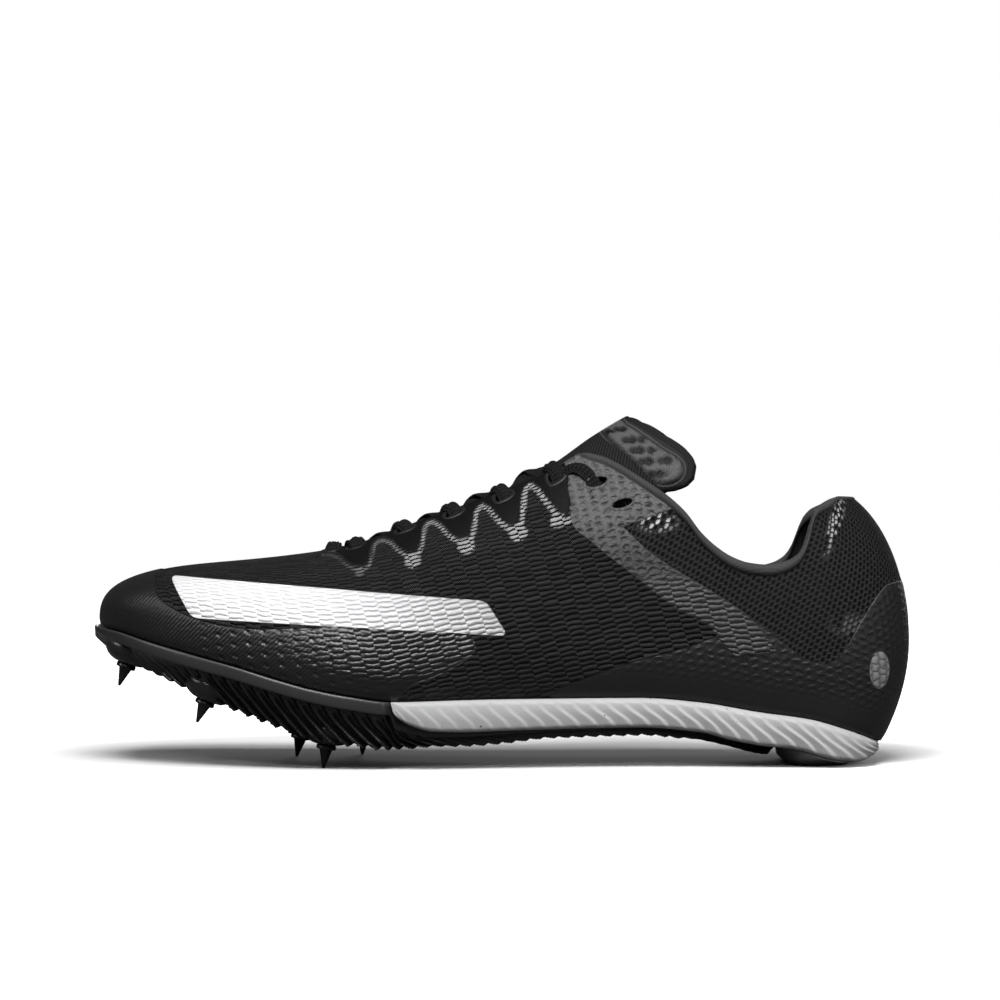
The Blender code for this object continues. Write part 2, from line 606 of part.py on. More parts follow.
def midsole_rows(side, laps):
    front = along_x(MIDSOLE_FRONT)
    wave = zigzag(laps, half_pitches(front, 0.0, RIB_PITCH), MIDSOLE_FAN_COUNT)
    wave = wave * np.clip((1 - laps) * 9 - 0.8, 0, 1)
    rows = []
    for share, depth in MIDSOLE_RINGS:
        lean = RIB_LEAN * (depth - 0.5) * (0.0 < depth < 1.0)
        cx, cy, dx, dy = frames(side, laps, front)
        fade = np.clip((cx - front - 10.0) / 20.0, 0, 1) * np.clip(-cx / 20.0, 0, 1)
        cx = np.where(laps >= 0, np.minimum(cx + lean * fade, 0.0), cx)
        width = half_width(side, cx, 0.0, -LIP, TOE_LIP)
        full = oval(dx, dy, HEEL_SEAT_REACH + HEEL_LIP, width, HEEL_POWER)
        end = np.clip((cx - front) / 5.0, 0, 1)
        ribbed = RIB_DEPTH * wave * (0.3 < depth < 0.99) - 0.8 * (depth > 0.9)
        bulge = 1.0 * np.sin(math.pi * depth)
        out = full * share + (share > 0.95) * (ribbed + bulge) * end
        at = cx + dx * full * share
        top, thick = footbed_z(at, share), midsole_depth(at, share)
        under = seat_z(at) - GAP - thick
        z = np.where(thick > 0.001, top + (under - top) * depth, top)
        rows.append(np.stack([cx + dx * out, cy + dy * out, z], -1))
    return np.stack(rows, 1)


def half_pitches(front, pivot, pitch):
    return max(8, int(round(abs(front - pivot) / (pitch / 2))))


def zigzag(laps, side_count, fan_count):
    """A triangle wave between -1 and 1 that turns at every half pitch along the side and in the fan."""
    phase = np.where(laps >= 0, laps * side_count, -laps * fan_count)
    return 1 - 2 * np.abs(phase % 2 - 1)


def side_stations(front, pivot, pitch):
    """Laps at every half pitch along the side, with closer ones at the front end of the midsole."""
    count = half_pitches(front, pivot, pitch)
    even = pivot + (front - pivot) * np.linspace(0, 1, count + 1)
    end = float(along_x(MIDSOLE_FRONT))
    close = end + np.array(MIDSOLE_END_STATIONS)
    kept = even[(even > close.max() + pitch / 4) | (even < close.min() - pitch / 4) | (even == front)]
    xs = np.unique(np.concatenate([kept, close[close >= front]]))[::-1]
    return (xs - pivot) / (front - pivot)


def close_ring(rings):
    """Faces of stacked rings joined all round the loop; first and last points meet on the spine."""
    count, ring = rings.shape[:2]
    return grid_faces(count, ring, True)


def build_midsole(foam):
    front = float(along_x(MIDSOLE_FRONT))
    loop = loop_of(side_stations(front, 0.0, RIB_PITCH), MIDSOLE_FAN_COUNT)
    rings = on_loop(loop, midsole_rows)
    faces = grid_faces(*rings.shape[:2], False)
    return new_object("midsole", rings.reshape(-1, 3), faces, foam, 25.0, 0.02)


PLATE_RINGS = ((0.0, "top"), (0.42, "top"), (0.74, "top"), (1.0, "top"), (1.0, "rim"),
               (0.95, "rim"), (0.0, "foot"), (0.0, "foot_inner"), (0.0, "under"))


def plate_top(x, share):
    """Top of the plate: the footbed in front of the midsole, and a gap below the midsole under it."""
    depth = midsole_depth(x, share)
    under = np.minimum(seat_z(x) - GAP - depth, footbed_z(x, share)) - GAP * 1.8
    return np.where(np.asarray(x) > along_x(MIDSOLE_FRONT) - 0.2, under, footbed_z(x, share))


def plate_rows(side, laps):
    """Rings of the plate: footbed or midsole seat, rim band, fins, underside."""
    pivot = PLATE_PIVOT
    wave = zigzag(laps, half_pitches(TOE_LIP, pivot, FIN_PITCH), PLATE_FAN_COUNT)
    cx0, cy, dx, dy = frames(side, laps, TOE_LIP, pivot)
    toe_room = np.clip((cx0 - TOE_LIP) / 25.0, 0, 1)
    rows = []
    for share, kind in PLATE_RINGS:
        lean = {"foot": 1.0, "foot_inner": 0.6}.get(kind, 0.0) * FIN_LEAN
        cx = np.minimum(cx0 + lean * toe_room * (laps >= 0) * np.clip((pivot - cx0) / 20.0, 0, 1), cx0 + 50.0)
        cx = np.where(laps >= 0, np.minimum(cx, pivot), cx0)
        sole = half_width(side, cx, 0.0, -LIP, TOE_LIP)
        tuck = 1 - smooth_fade(cx, -float(along_x(MIDSOLE_FRONT)) - 4.0, 8.0)
        rear = sole * 0.93 - 2.0
        tail = smooth_fade(cx, -pivot, 60.0)
        rear = PLATE_TAIL_WIDTH / 2 * (1 - tail) + rear * tail
        width = sole * (1 - tuck) + rear * tuck
        full = oval(dx, dy, PLATE_TAIL_REACH, width, 2.6)
        at = cx + dx * full * share
        top = plate_top(at, share * width / np.maximum(sole, 1e-6))
        under = SEAT_HEIGHT * smooth_table(PLATE, "under", cx + dx * full * 0.8)
        edge_top = plate_top(cx + dx * full, width / np.maximum(sole, 1e-6))
        tall = edge_top - under
        band = np.minimum(RIM_HEIGHT, 0.42 * tall)
        foot_share = smooth_table(PLATE, "foot", cx)
        fin_fade = np.clip((tall - 3.0) / 4.0, 0, 1) * toe_room
        if kind == "top":
            out, z = full * share, top
        elif kind == "rim":
            out, z = full * share, edge_top - band * (1.0 if share == 1.0 else 1.15)
        elif kind == "foot":
            out = full * foot_share + 0.8 * FIN_DEPTH * wave * fin_fade
            z = under + 0.5 - FIN_TOOTH * np.clip(wave, 0, 1) * fin_fade
        elif kind == "foot_inner":
            out, z = full * (foot_share - 0.10), under + 0.15 * fin_fade
        else:
            out, z = full * 0.0, SEAT_HEIGHT * smooth_table(PLATE, "under", cx)
        rows.append(np.stack([cx + dx * out, cy + dy * out, z], -1))
    return np.stack(rows, 1)


def spike_frames():
    """(name, tip, axis from the tip up into the plate) of every spike."""
    made = []
    for i, name in enumerate(SPIKES["name"]):
        lean = math.radians(SPIKES["lean"][i])
        axis = np.array([math.sin(lean), 0.0, math.cos(lean)])
        tip = np.array([along_x(SPIKES["along"][i]), SPIKES["across"][i] * BALL_WIDTH,
                        SPIKES["lift"][i] * SEAT_HEIGHT + SPIKE_TIP_RADIUS * math.sin(lean)])
        made.append((name, tip, axis))
    return made


def build_plate(nylon):
    pivot = PLATE_PIVOT
    loop = loop_of(side_stations(TOE_LIP, pivot, FIN_PITCH), PLATE_FAN_COUNT)
    rings = on_loop(loop, plate_rows)
    plate = new_object("spike_plate", rings.reshape(-1, 3), close_ring(rings), nylon, 30.0, 0.02)
    bosses, sockets = [], []
    for _, tip, axis in spike_frames():
        face = tip + axis * (SPIKE_LENGTH + GAP)
        bosses.append(turned(face, axis, [(0, BOSS_FACE_RADIUS), (1.4, BOSS_FACE_RADIUS + 1.7),
                                          (3.2, BOSS_ROOT_RADIUS - 0.8), (BOSS_HEIGHT, BOSS_ROOT_RADIUS)],
                             BOSS_SIDES))
        sockets.append(turned(face - axis, axis, [(0, SPIKE_STEM_RADIUS + GAP),
                                                  (1 + SPIKE_STEM + GAP, SPIKE_STEM_RADIUS + GAP)], SPIKE_SIDES))
    boolean(plate, new_object("bosses", *joined(bosses), None), "UNION")
    boolean(plate, new_object("sockets", *joined(sockets), None), "DIFFERENCE")
    return plate


def build_heel_pad(rubber):
    """Oval rubber pad under the heel, flat on the floor."""
    sides, verts = 24, []
    rings = ((0.0, 1, 0), (0.55, 1, 0), (0.93, 1, 0), (1.0, 1, -0.5), (1.0, 0, HEEL_PAD_BEVEL), (0.92, 0, 0.35),
             (0.80, 0, 0.0), (0.0, 0, 0.0))
    for share, at_top, lift in rings:
        for k in range(sides):
            turn = 2 * math.pi * k / sides
            out = share * oval(math.cos(turn), math.sin(turn), HEEL_PAD_LENGTH / 2, HEEL_PAD_WIDTH / 2, 3.0)
            x, y = out * math.cos(turn), out * math.sin(turn)
            width = half_width(-1 if y < 0 else 1, min(x, 0.0), 0.0, -LIP, TOE_LIP)
            across = math.atan2(abs(y), x) if x > 0 else math.pi / 2
            radius = math.hypot(max(x, 0.0), y)
            edge = oval(math.cos(across), math.sin(across), HEEL_SEAT_REACH + HEEL_LIP, width, HEEL_POWER)
            share_out = radius / edge
            foam = seat_z(x) - midsole_depth(x, np.clip(share_out, 0, 1)) - 2 * GAP
            verts.append((x, y, float(foam) - 0.2 + lift if at_top else lift))
    return new_object("heel_pad", verts, pad_faces(len(rings), sides), rubber, 30.0, 0.02)


def pad_faces(rings, sides):
    return [(i * sides + k, (i + 1) * sides + k, (i + 1) * sides + (k + 1) % sides, i * sides + (k + 1) % sides)
            for i in range(rings - 1) for k in range(sides)]


def build_insole(felt):
    def rows(side, laps):
        inset = WALL + INSOLE_CLEARANCE
        tip = TOE_TIP + inset + 1.0
        cx, cy, dx, dy = frames(side, laps, tip)
        width = half_width(side, cx, 0.0, inset, tip)
        full = oval(dx, dy, HEEL_SEAT_REACH - inset, width, HEEL_POWER)
        sole_width = half_width(side, cx, 0.0, -LIP, TOE_LIP)
        sole = oval(dx, dy, HEEL_SEAT_REACH + HEEL_LIP, sole_width, HEEL_POWER)
        made = []
        for share, up in ((0, 0), (0.5, 0), (1, 0), (1, 1), (0.5, 1), (0, 1)):
            at = cx + dx * full * share
            bed = SEAT_HEIGHT * smooth_table(FOOTBED, "bed", at) - GAP
            z = np.maximum(footbed_z(at, share * full / sole), bed) + INSOLE_CLEARANCE + INSOLE_THICKNESS * up
            made.append(np.stack([cx + dx * full * share, cy + dy * full * share, z], -1))
        return np.stack(made, 1)

    loop = loop_of(spread_laps(18), 6)
    rings = on_loop(loop, rows)
    return new_object("insole", rings.reshape(-1, 3), close_ring(rings), felt, 30.0, 0.02)


def build_spikes(steel):
    profile = [(0, SPIKE_TIP_RADIUS), (SPIKE_LENGTH - SPIKE_FLANGE, SPIKE_CONE_RADIUS),
               (SPIKE_LENGTH - SPIKE_FLANGE, SPIKE_FLANGE_RADIUS), (SPIKE_LENGTH, SPIKE_FLANGE_RADIUS),
               (SPIKE_LENGTH, SPIKE_STEM_RADIUS), (SPIKE_LENGTH + SPIKE_STEM, SPIKE_STEM_RADIUS)]
    return [new_object("spike_" + name, *turned(tip, axis, profile, SPIKE_SIDES), steel, 30.0)
            for name, tip, axis in spike_frames()]


# Tongue, laces and overlays

def last_top(side, x, y, inset):
    """Point of the last above (x, y), drawn in by the inset."""
    tip = TOE_TIP + inset
    s = section(side, np.array([x / tip]), inset)
    out = abs(y - float(s["cy"][0]))
    return skin(s, rise_at_distance(s, out))[0]


def build_tongue(knit):
    """Sheet under the eyestays, with a padded top whose corners reach back round the ankle."""
    along_steps, across_steps = 13, 10
    front, top = float(along_x(TONGUE_FRONT)), float(along_x(TONGUE_TOP))
    narrow, broad = TONGUE_HALF_WIDTH

    def place(a, b, inset):
        corner = min(abs(b) / 0.80, 1.0)
        round_off = max(abs(b) - 0.80, 0.0) / 0.20
        shorter = 0.4 * TONGUE_WING * (1 - math.sqrt(max(0.0, 1 - round_off ** 2)))
        end = top + TONGUE_WING * corner ** 2.2 - shorter
        x = front + (end - front) * a
        half = narrow + (broad - narrow) * min(1.0, a * 1.12) ** 1.5
        side = -1 if b < 0 else 1
        return last_top(side, x, b * half, inset)

    outer, inner = [], []
    for i in range(along_steps + 1):
        a = i / along_steps
        pad = min(1.0, max(0.0, (a - 0.74) / 0.06)) * min(1.0, (1 - a) / 0.04 + 0.3)
        for j in range(across_steps + 1):
            b = 2 * j / across_steps - 1
            edge = min(1.0, (1 - abs(b)) / 0.12 + 0.3)
            skin_inset = WALL + TONGUE_CLEARANCE
            outer.append(place(a, b, skin_inset))
            inner.append(place(a, b, skin_inset + TONGUE_THICKNESS + TONGUE_PAD * pad * edge))
    columns, rows = across_steps + 1, along_steps + 1
    start = len(outer)
    faces = grid_faces(rows, columns, False)
    faces += [tuple(start + k for k in f[::-1]) for f in grid_faces(rows, columns, False)]
    for j in range(across_steps):
        far = along_steps * columns
        faces.append((j, j + 1, start + j + 1, start + j))
        faces.append((far + j + 1, far + j, start + far + j, start + far + j + 1))
    for i in range(along_steps):
        a, b = i * columns, (i + 1) * columns
        faces.append((b, a, start + a, start + b))
        faces.append((a + across_steps, b + across_steps, start + b + across_steps, start + a + across_steps))
    return new_object("tongue", outer + inner, faces, knit, 50.0)


def lace_strip(start, end, lift, steps=4):
    """A flat strip over the eyestays and the tongue from one (x, y) to another."""
    verts = []
    run = np.array(end) - np.array(start)
    along = run / np.linalg.norm(run)
    start, run = np.array(start) - along * LACE_END, run + along * 2 * LACE_END
    across = np.array([-along[1], along[0]]) * LACE_WIDTH / 2
    for i in range(steps + 1):
        x, y = start + run * i / steps
        for height in (LACE_CLEARANCE + lift, LACE_CLEARANCE + lift + LACE_THICKNESS):
            for sign in (-1, 1):
                px, py = x + sign * across[0], y + sign * across[1]
                side = -1 if py < float(spine_y(px)) else 1
                verts.append(last_top(side, px, py, -height))
    faces = []
    for i in range(steps):
        a, b = i * 4, (i + 1) * 4
        faces += [(a, b, b + 1, a + 1), (a + 2, a + 3, b + 3, b + 2)]
        faces += [(a, a + 2, b + 2, b), (a + 1, b + 1, b + 3, a + 3)]
    faces += [(0, 1, 3, 2), (steps * 4, steps * 4 + 2, steps * 4 + 3, steps * 4 + 1)]
    return verts, faces


def build_laces(cord):
    """Straight bar at the lowest row, then crossings from row to row, joined into one solid."""
    row_of = {}
    for row, side, point, _ in eyelet_places():
        if row < LACED_ROWS:
            row_of[row, side] = point[:2]
    under, over = ([lace_strip(row_of[row, side], row_of[row + 1, -side], lift) for row in range(LACED_ROWS - 1)]
                   for side, lift in ((-1, 0.0), (1, LACE_RISE)))
    bar = lace_strip(row_of[0, -1], row_of[0, 1], LACE_RISE / 2)
    laces = new_object("laces", *joined(under), cord, 30.0)
    for strips in (over, [bar]):
        boolean(laces, new_object("lace_strips", *joined(strips), None), "UNION")
    keep_outer_shell(laces)
    return laces


def overlay_shell(name, path, low, high, film, over_ridge=False):
    """A thin shell GAP off the upper, on the upper's own stations and rows, cut to low..high rises.

    path: (side, lap) stations in order. low, high: rises of the shell's edges at each station.
    over_ridge: the two sides meet on the ridge, so the upper edge has no wall.
    """
    layers = []
    for inset in (-GAP, -GAP - OVERLAY):
        layer = []
        for (side, lap), bottom, top in zip(path, low, high):
            s = section(side, np.array([lap]), inset)
            edge = float(open_rise(section(side, np.array([lap])))[0])
            rises = np.array(UPPER_OUTER_SHARES[1:]) * edge
            rises = [bottom] + list(np.clip(rises, bottom, top)) + [top]
            layer += [skin(s, rise)[0] for rise in rises]
        layers.append(layer)
    columns, rows = len(UPPER_OUTER_SHARES) + 1, len(path)
    start = rows * columns
    faces = [f[::-1] for f in grid_faces(rows, columns, False)]
    faces += [tuple(start + k for k in f) for f in grid_faces(rows, columns, False)]
    for j in range(columns - 1):
        far = (rows - 1) * columns
        faces.append((j + 1, j, start + j, start + j + 1))
        faces.append((far + j, far + j + 1, start + far + j + 1, start + far + j))
    for i in range(rows - 1):
        a, b = i * columns, (i + 1) * columns
        faces.append((a, b, start + b, start + a))
        if not over_ridge:
            faces.append((b + columns - 1, a + columns - 1, start + a + columns - 1, start + b + columns - 1))
    return new_object(name, layers[0] + layers[1], faces, film, 50.0, 0.02)


def rise_of_height(side, lap, height):
    """Rise at which the upper reaches a world height, below or above the belly."""
    s = section(side, np.array([lap]))
    belly, low = float(s["belly"][0]), float(s["low"][0])
    if height > belly:
        return float(rise_at_height(s, height)[0])
    return BELLY_SHARE * (height - low) / (belly - low)


def base_rise(side, lap):
    """Rise of the overlays' lower edge."""
    s = section(side, np.array([lap]))
    return BELLY_SHARE * min(1.0, OVERLAY_EDGE / max(float(s["belly"][0] - s["low"][0]), 0.01))


def side_path():
    return [float(lap) for lap in spread_laps(UPPER_SIDE_COUNT)]


def build_saddle(side, film):
    """Diagonal band from the top eyelets down and back to the heel quarter."""
    back, front = along_x(SADDLE["along"][0]), along_x(SADDLE["along"][-1])
    path = [(side, lap) for lap in side_path() if front < lap * TOE_TIP < back]
    edges = {}
    for key in ("low", "high"):
        heights = [np.interp(HEEL_BACK - lap * TOE_TIP, np.array(SADDLE["along"]) * LENGTH, SADDLE[key])
                   for _, lap in path]
        edges[key] = [rise_of_height(side, lap, height * INSTEP_HEIGHT) for (_, lap), height in zip(path, heights)]
    return overlay_shell("saddle_" + ("lateral" if side < 0 else "medial"), path, edges["low"], edges["high"], film)


def build_counter(film):
    """Heel counter film that wraps the back of the heel."""
    ahead = [lap for lap in side_path() if 0 <= lap <= COUNTER["lap"][0]][::-1]
    laps = ahead + list(-np.linspace(0, 1, UPPER_FAN_COUNT + 1)[1:])
    path = [(-1, lap) for lap in laps] + [(1, lap) for lap in laps[:-1][::-1]]
    low = [base_rise(side, lap) for side, lap in path]
    table = np.array(COUNTER["lap"][::-1]), np.array(COUNTER["height"][::-1])
    high = [rise_of_height(side, lap, INSTEP_HEIGHT * float(np.interp(lap, *table))) for side, lap in path]
    return overlay_shell("heel_counter", path, low, high, film)


def build_toe_cap(film):
    """Thin film that wraps the front of the toe box."""
    laps = [lap for lap in side_path() if lap * TOE_TIP < along_x(TOE_CAP["back"])]
    path = [(-1, lap) for lap in laps] + [(1, lap) for lap in laps[:-1][::-1]]
    return overlay_shell("toe_cap", path, [TOE_CAP["low"]] * len(path), [1.0] * len(path), film, True)


def main():
    for old in list(bpy.data.objects):
        bpy.data.objects.remove(old)
    knit = material("knit_black", (0.012, 0.012, 0.013), 0.75)
    lining = material("tongue_black", (0.015, 0.015, 0.016), 0.7)
    foam = material("foam_grey", (0.52, 0.52, 0.52), 0.55)
    nylon = material("nylon_black", (0.010, 0.010, 0.011), 0.25)
    rubber = material("rubber_grey", (0.30, 0.30, 0.30), 0.5)
    steel = material("steel_black", (0.02, 0.02, 0.022), 0.3, 0.8)
    cord = material("lace_black", (0.006, 0.006, 0.006), 0.8)
    film_grey = material("film_grey", (0.09, 0.09, 0.09), 0.4)
    film_black = material("film_black", (0.008, 0.008, 0.009), 0.3)
    felt = material("insole_black", (0.02, 0.02, 0.02), 0.9)
    build_upper(knit)
    build_midsole(foam)
    build_plate(nylon)
    build_heel_pad(rubber)
    build_insole(felt)
    build_spikes(steel)
    build_tongue(lining)
    build_laces(cord)
    for side in SIDES:
        build_saddle(side, film_grey)
    build_counter(film_black)
    build_toe_cap(film_black)


main()
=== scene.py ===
import math

import bmesh
import bpy
import numpy as np
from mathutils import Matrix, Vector


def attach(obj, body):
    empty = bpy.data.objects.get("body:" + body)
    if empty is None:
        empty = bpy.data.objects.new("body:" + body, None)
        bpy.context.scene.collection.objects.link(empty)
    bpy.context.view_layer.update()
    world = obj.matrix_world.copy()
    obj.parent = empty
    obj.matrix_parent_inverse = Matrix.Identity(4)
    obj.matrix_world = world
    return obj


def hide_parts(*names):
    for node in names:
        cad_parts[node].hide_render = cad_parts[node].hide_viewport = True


# Track spike shoe, left foot. Toe at -X, lateral side at -Y. Sizes are in millimetres until a mesh is made.
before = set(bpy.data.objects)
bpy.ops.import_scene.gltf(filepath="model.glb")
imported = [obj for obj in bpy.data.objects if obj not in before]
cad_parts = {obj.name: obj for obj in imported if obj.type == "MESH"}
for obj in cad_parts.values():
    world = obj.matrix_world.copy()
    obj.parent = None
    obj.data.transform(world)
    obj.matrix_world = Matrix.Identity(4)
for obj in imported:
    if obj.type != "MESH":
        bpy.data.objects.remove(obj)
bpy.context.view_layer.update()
scene = bpy.context.scene
mm = 0.001
quarterTurn = math.pi / 2

last = {
    "length": 285.0, "heelOverhang": 32.4, "heelSeatReach": 22.7, "ballWidth": 92.0, "instepHeight": 116.0,
    "seatHeight": 24.0, "toeSwing": 7.0, "lip": 2.0, "heelLip": 0.4, "gap": 0.3, "wall": 1.6,
    "bellyShare": 0.3, "ballLine": 0.7, "toeRoundFrom": 0.834, "toeRoundPower": 3.2, "heelPower": 2.2,
    "toePowerLateral": 2.2, "toePowerMedial": 2.6,
}
toeLip = last["heelOverhang"] - last["length"]
toeTip = toeLip + last["lip"]

# Stations from the back of the heel to the toe: ridge and belly are shares of the instep height,
# lateral and medial are half widths as shares of the ball width.
lastTable = {
    "along": (0.0000, 0.1123, 0.1825, 0.2596, 0.3382, 0.3849, 0.4386, 0.4982, 0.5614, 0.6211, 0.6947, 0.7632,
              0.8554, 0.9193, 1.0000),
    "ridge": (0.836, 0.836, 1.000, 1.150, 1.072, 1.006, 0.914, 0.838, 0.772, 0.714, 0.648, 0.622, 0.600,
              0.588, 0.572),
    "belly": (0.371, 0.371, 0.376, 0.384, 0.396, 0.398, 0.394, 0.384, 0.368, 0.345, 0.325, 0.340, 0.408,
              0.445, 0.466),
    "lateral": (0.326, 0.326, 0.324, 0.324, 0.333, 0.346, 0.372, 0.410, 0.450, 0.490, 0.513, 0.513, 0.513,
                0.513, 0.513),
    "medial": (0.326, 0.326, 0.314, 0.294, 0.268, 0.257, 0.262, 0.284, 0.330, 0.386, 0.443, 0.446, 0.446,
               0.446, 0.446),
    "swell": (0.12, 0.12, 0.13, 0.14, 0.15, 0.16, 0.16, 0.14, 0.10, 0.07, 0.04, 0.03, 0.03, 0.03, 0.03),
    "power": (2.0, 2.0, 1.95, 1.88, 1.86, 1.86, 1.88, 1.92, 1.98, 2.05, 2.15, 2.25, 2.4, 2.5, 2.5),
}
seatTable = {
    "along": (0.0325, 0.0544, 0.0828, 0.1298, 0.1895, 0.2614, 0.3333, 0.4982, 0.6274, 0.6807, 0.7246, 0.7684,
              0.8140, 0.8491, 0.9291, 0.9632, 1.0000),
    "seat": (0.310, 0.413, 0.542, 0.704, 0.804, 0.945, 1.010, 1.008, 0.985, 1.067, 1.171, 1.313, 1.475, 1.583,
             1.829, 1.938, 2.000),
}
footbedTable = {
    "along": (0.0, 0.10, 0.19, 0.26, 0.33, 0.50, 0.60, 0.70, 0.77, 0.85, 0.93, 1.0),
    "bed": (0.65, 0.65, 0.69, 0.77, 0.84, 0.89, 0.89, 0.91, 1.11, 1.42, 1.72, 1.96),
}
collarTable = {
    "along": (0.0500, 0.0840, 0.0947, 0.1123, 0.1218, 0.1337, 0.1432, 0.1600, 0.1789, 0.2032, 0.2235, 0.2414,
              0.2596, 0.2772, 0.2989, 0.3193, 0.3396, 0.3589, 0.3793, 0.3996, 0.42),
    "height": (0.805, 0.802, 0.796, 0.777, 0.752, 0.668, 0.632, 0.609, 0.600, 0.606, 0.624, 0.653, 0.695,
               0.753, 0.803, 0.838, 0.871, 0.900, 0.922, 0.930, 0.930),
}
throat = {"front": 0.72, "width": 19.0, "spread": 6.0, "round": 16.0, "collarFan": 15.0, "medialDrop": 1.6}
eyelets = {
    "along": (0.7050, 0.6750, 0.6150, 0.5560, 0.4960, 0.4320, 0.3840, 0.3540),
    "margin": (1.0, 1.0, 1.0, 1.0, 1.05, 1.2, 2.4, 2.95),
    "step": 5.0, "laced": 7,
}


def alongX(share):
    # x = heel overhang - share of the length
    return last["heelOverhang"] - np.asarray(share, float) * last["length"]


def readTable(table, name, x):
    # monotone cubic through the rows: h00 a + h10 m a' + h01 b + h11 m b', with harmonic mean slopes
    xs, ys = np.array(table["along"], float), np.array(table[name], float)
    at = np.clip((last["heelOverhang"] - np.asarray(x, float)) / last["length"], xs[0], xs[-1])
    step = np.diff(xs)
    rise = np.diff(ys) / step
    slope = np.zeros(len(xs))
    same = rise[:-1] * rise[1:] > 0
    weightA, weightB = 2 * step[1:] + step[:-1], step[1:] + 2 * step[:-1]
    with np.errstate(divide="ignore", invalid="ignore"):
        mean = (weightA + weightB) / (weightA / rise[:-1] + weightB / rise[1:])
    slope[1:-1] = np.where(same, np.nan_to_num(mean), 0.0)
    slope[0], slope[-1] = rise[0], rise[-1]
    i = np.clip(np.searchsorted(xs, at, side="right") - 1, 0, len(xs) - 2)
    h = step[i]
    t = (at - xs[i]) / h
    return ((1 + 2 * t) * (1 - t) ** 2 * ys[i] + t * (1 - t) ** 2 * h * slope[i]
            + t * t * (3 - 2 * t) * ys[i + 1] + t * t * (t - 1) * h * slope[i + 1])


def ease(t):
    # 3t^2 - 2t^3 between 0 and 1
    t = np.clip(t, 0.0, 1.0)
    return t * t * (3 - 2 * t)


def spineY(x):
    # the centre line swings to the big toe with the square of the way from the ball to the toe
    ball = alongX(last["ballLine"])
    return last["toeSwing"] * np.clip((ball - x) / (ball - toeLip), 0.0, 1.0) ** 2


def seatZ(x):
    # height of the seat's edge: seat height times its table's share at x
    return last["seatHeight"] * readTable(seatTable, "seat", x)


def halfWidth(side, x, swell, inset, tip):
    # table width, swollen and drawn in, times (1 - share^p)^(1/p) in front of the ball
    ball = alongX(last["ballLine"])
    column = np.where(side < 0, readTable(lastTable, "lateral", np.maximum(x, ball)),
                      readTable(lastTable, "medial", np.maximum(x, ball)))
    power = np.where(side < 0, last["toePowerLateral"], last["toePowerMedial"])
    share = np.clip((ball - x) / (ball - tip), 0.0, 1.0)
    return (last["ballWidth"] * column * (1 + swell) - inset) * (1 - share ** power) ** (1 / power)


def oval(cosT, sinT, back, wide, power):
    # ((cos / back)^p + (sin / wide)^p)^(-1/p)
    safe = np.maximum(wide, 1e-9)
    reach = ((np.abs(cosT) / back) ** power + (np.abs(sinT) / safe) ** power) ** (-1 / power)
    return np.where(np.asarray(wide) <= 1e-6, 0.0, reach)


def frames(side, lap, tip, pivot=0.0):
    # spine point and outward direction: sideways along the foot, a half turn round the heel
    theta = (1 + np.clip(lap, -1, 0)) * math.pi / 2
    cosT, sinT = np.where(lap >= 0, 0.0, np.cos(theta)), np.where(lap >= 0, 1.0, np.sin(theta))
    x = pivot + (tip - pivot) * np.clip(lap, 0, 1)
    return x, spineY(x), cosT, side * sinT


def toeFall(x, tip):
    # 1 behind the toe, then (1 - s^p)^(1/p) down to 0 at the tip
    start = alongX(last["toeRoundFrom"])
    share = np.clip((start - x) / (start - tip), 0.0, 1.0)
    return (1 - share ** last["toeRoundPower"]) ** (1 / last["toeRoundPower"])


def section(side, lap, inset=0.0):
    # sizes of the last's cross section at each station
    tip = toeTip + inset
    cx, cy, dx, dy = frames(side, lap, tip)
    swell = readTable(lastTable, "swell", cx)
    foot = oval(dx, dy, last["heelSeatReach"] - inset, halfWidth(side, cx, 0.0, inset, tip),
                last["heelPower"])
    wide = oval(dx, dy, last["heelOverhang"] - inset, halfWidth(side, cx, swell, inset, tip), 2.0)
    low = seatZ(cx + dx * foot)
    fall = toeFall(cx, tip)
    belly = low + (last["instepHeight"] * readTable(lastTable, "belly", cx) - low) * fall
    top = low + (last["instepHeight"] * readTable(lastTable, "ridge", cx) - inset - low) * fall
    return {"cx": cx, "cy": cy, "dx": dx, "dy": dy, "foot": foot, "wide": wide, "low": low, "belly": belly,
            "top": top, "power": readTable(lastTable, "power", cx), "side": side, "lap": lap}


def skin(s, rise):
    # below the belly the wall swells out with 1 - (1 - t)^2, above it follows cos^(2/p), sin^(2/p)
    share = last["bellyShare"]
    s = {key: value[:, None] for key, value in s.items()}
    low = np.clip(rise / share, 0, 1)
    angle = np.clip((rise - share) / (1 - share), 0, 1) * math.pi / 2
    cosA, sinA = np.clip(np.cos(angle), 0, 1), np.sin(angle)
    out = np.where(rise < share, s["wide"] - (s["wide"] - s["foot"]) * (1 - low) ** 2,
                   s["wide"] * cosA ** (2 / s["power"]))
    out = np.where(rise >= 1, 0.0, out)
    z = np.where(rise < share, s["low"] + (s["belly"] - s["low"]) * low,
                 s["belly"] + (s["top"] - s["belly"]) * sinA ** (2 / s["power"]))
    return np.stack([s["cx"] + s["dx"] * out, s["cy"] + s["dy"] * out, z], -1)


def riseAtHeight(s, z):
    # rise where the skin reaches z: belly share + the rest times arcsin(h^(p/2)) over a quarter turn
    share = np.clip((z - s["belly"]) / np.maximum(s["top"] - s["belly"], 1e-6), 0, 1)
    return last["bellyShare"] + (1 - last["bellyShare"]) * np.arcsin(share ** (s["power"] / 2)) / quarterTurn


def riseAtDistance(s, out):
    # rise where the skin is out from the axis: the same with arccos(d^(p/2))
    share = np.clip(out / np.maximum(s["wide"], 1e-6), 0, 1)
    return last["bellyShare"] + (1 - last["bellyShare"]) * np.arccos(share ** (s["power"] / 2)) / quarterTurn


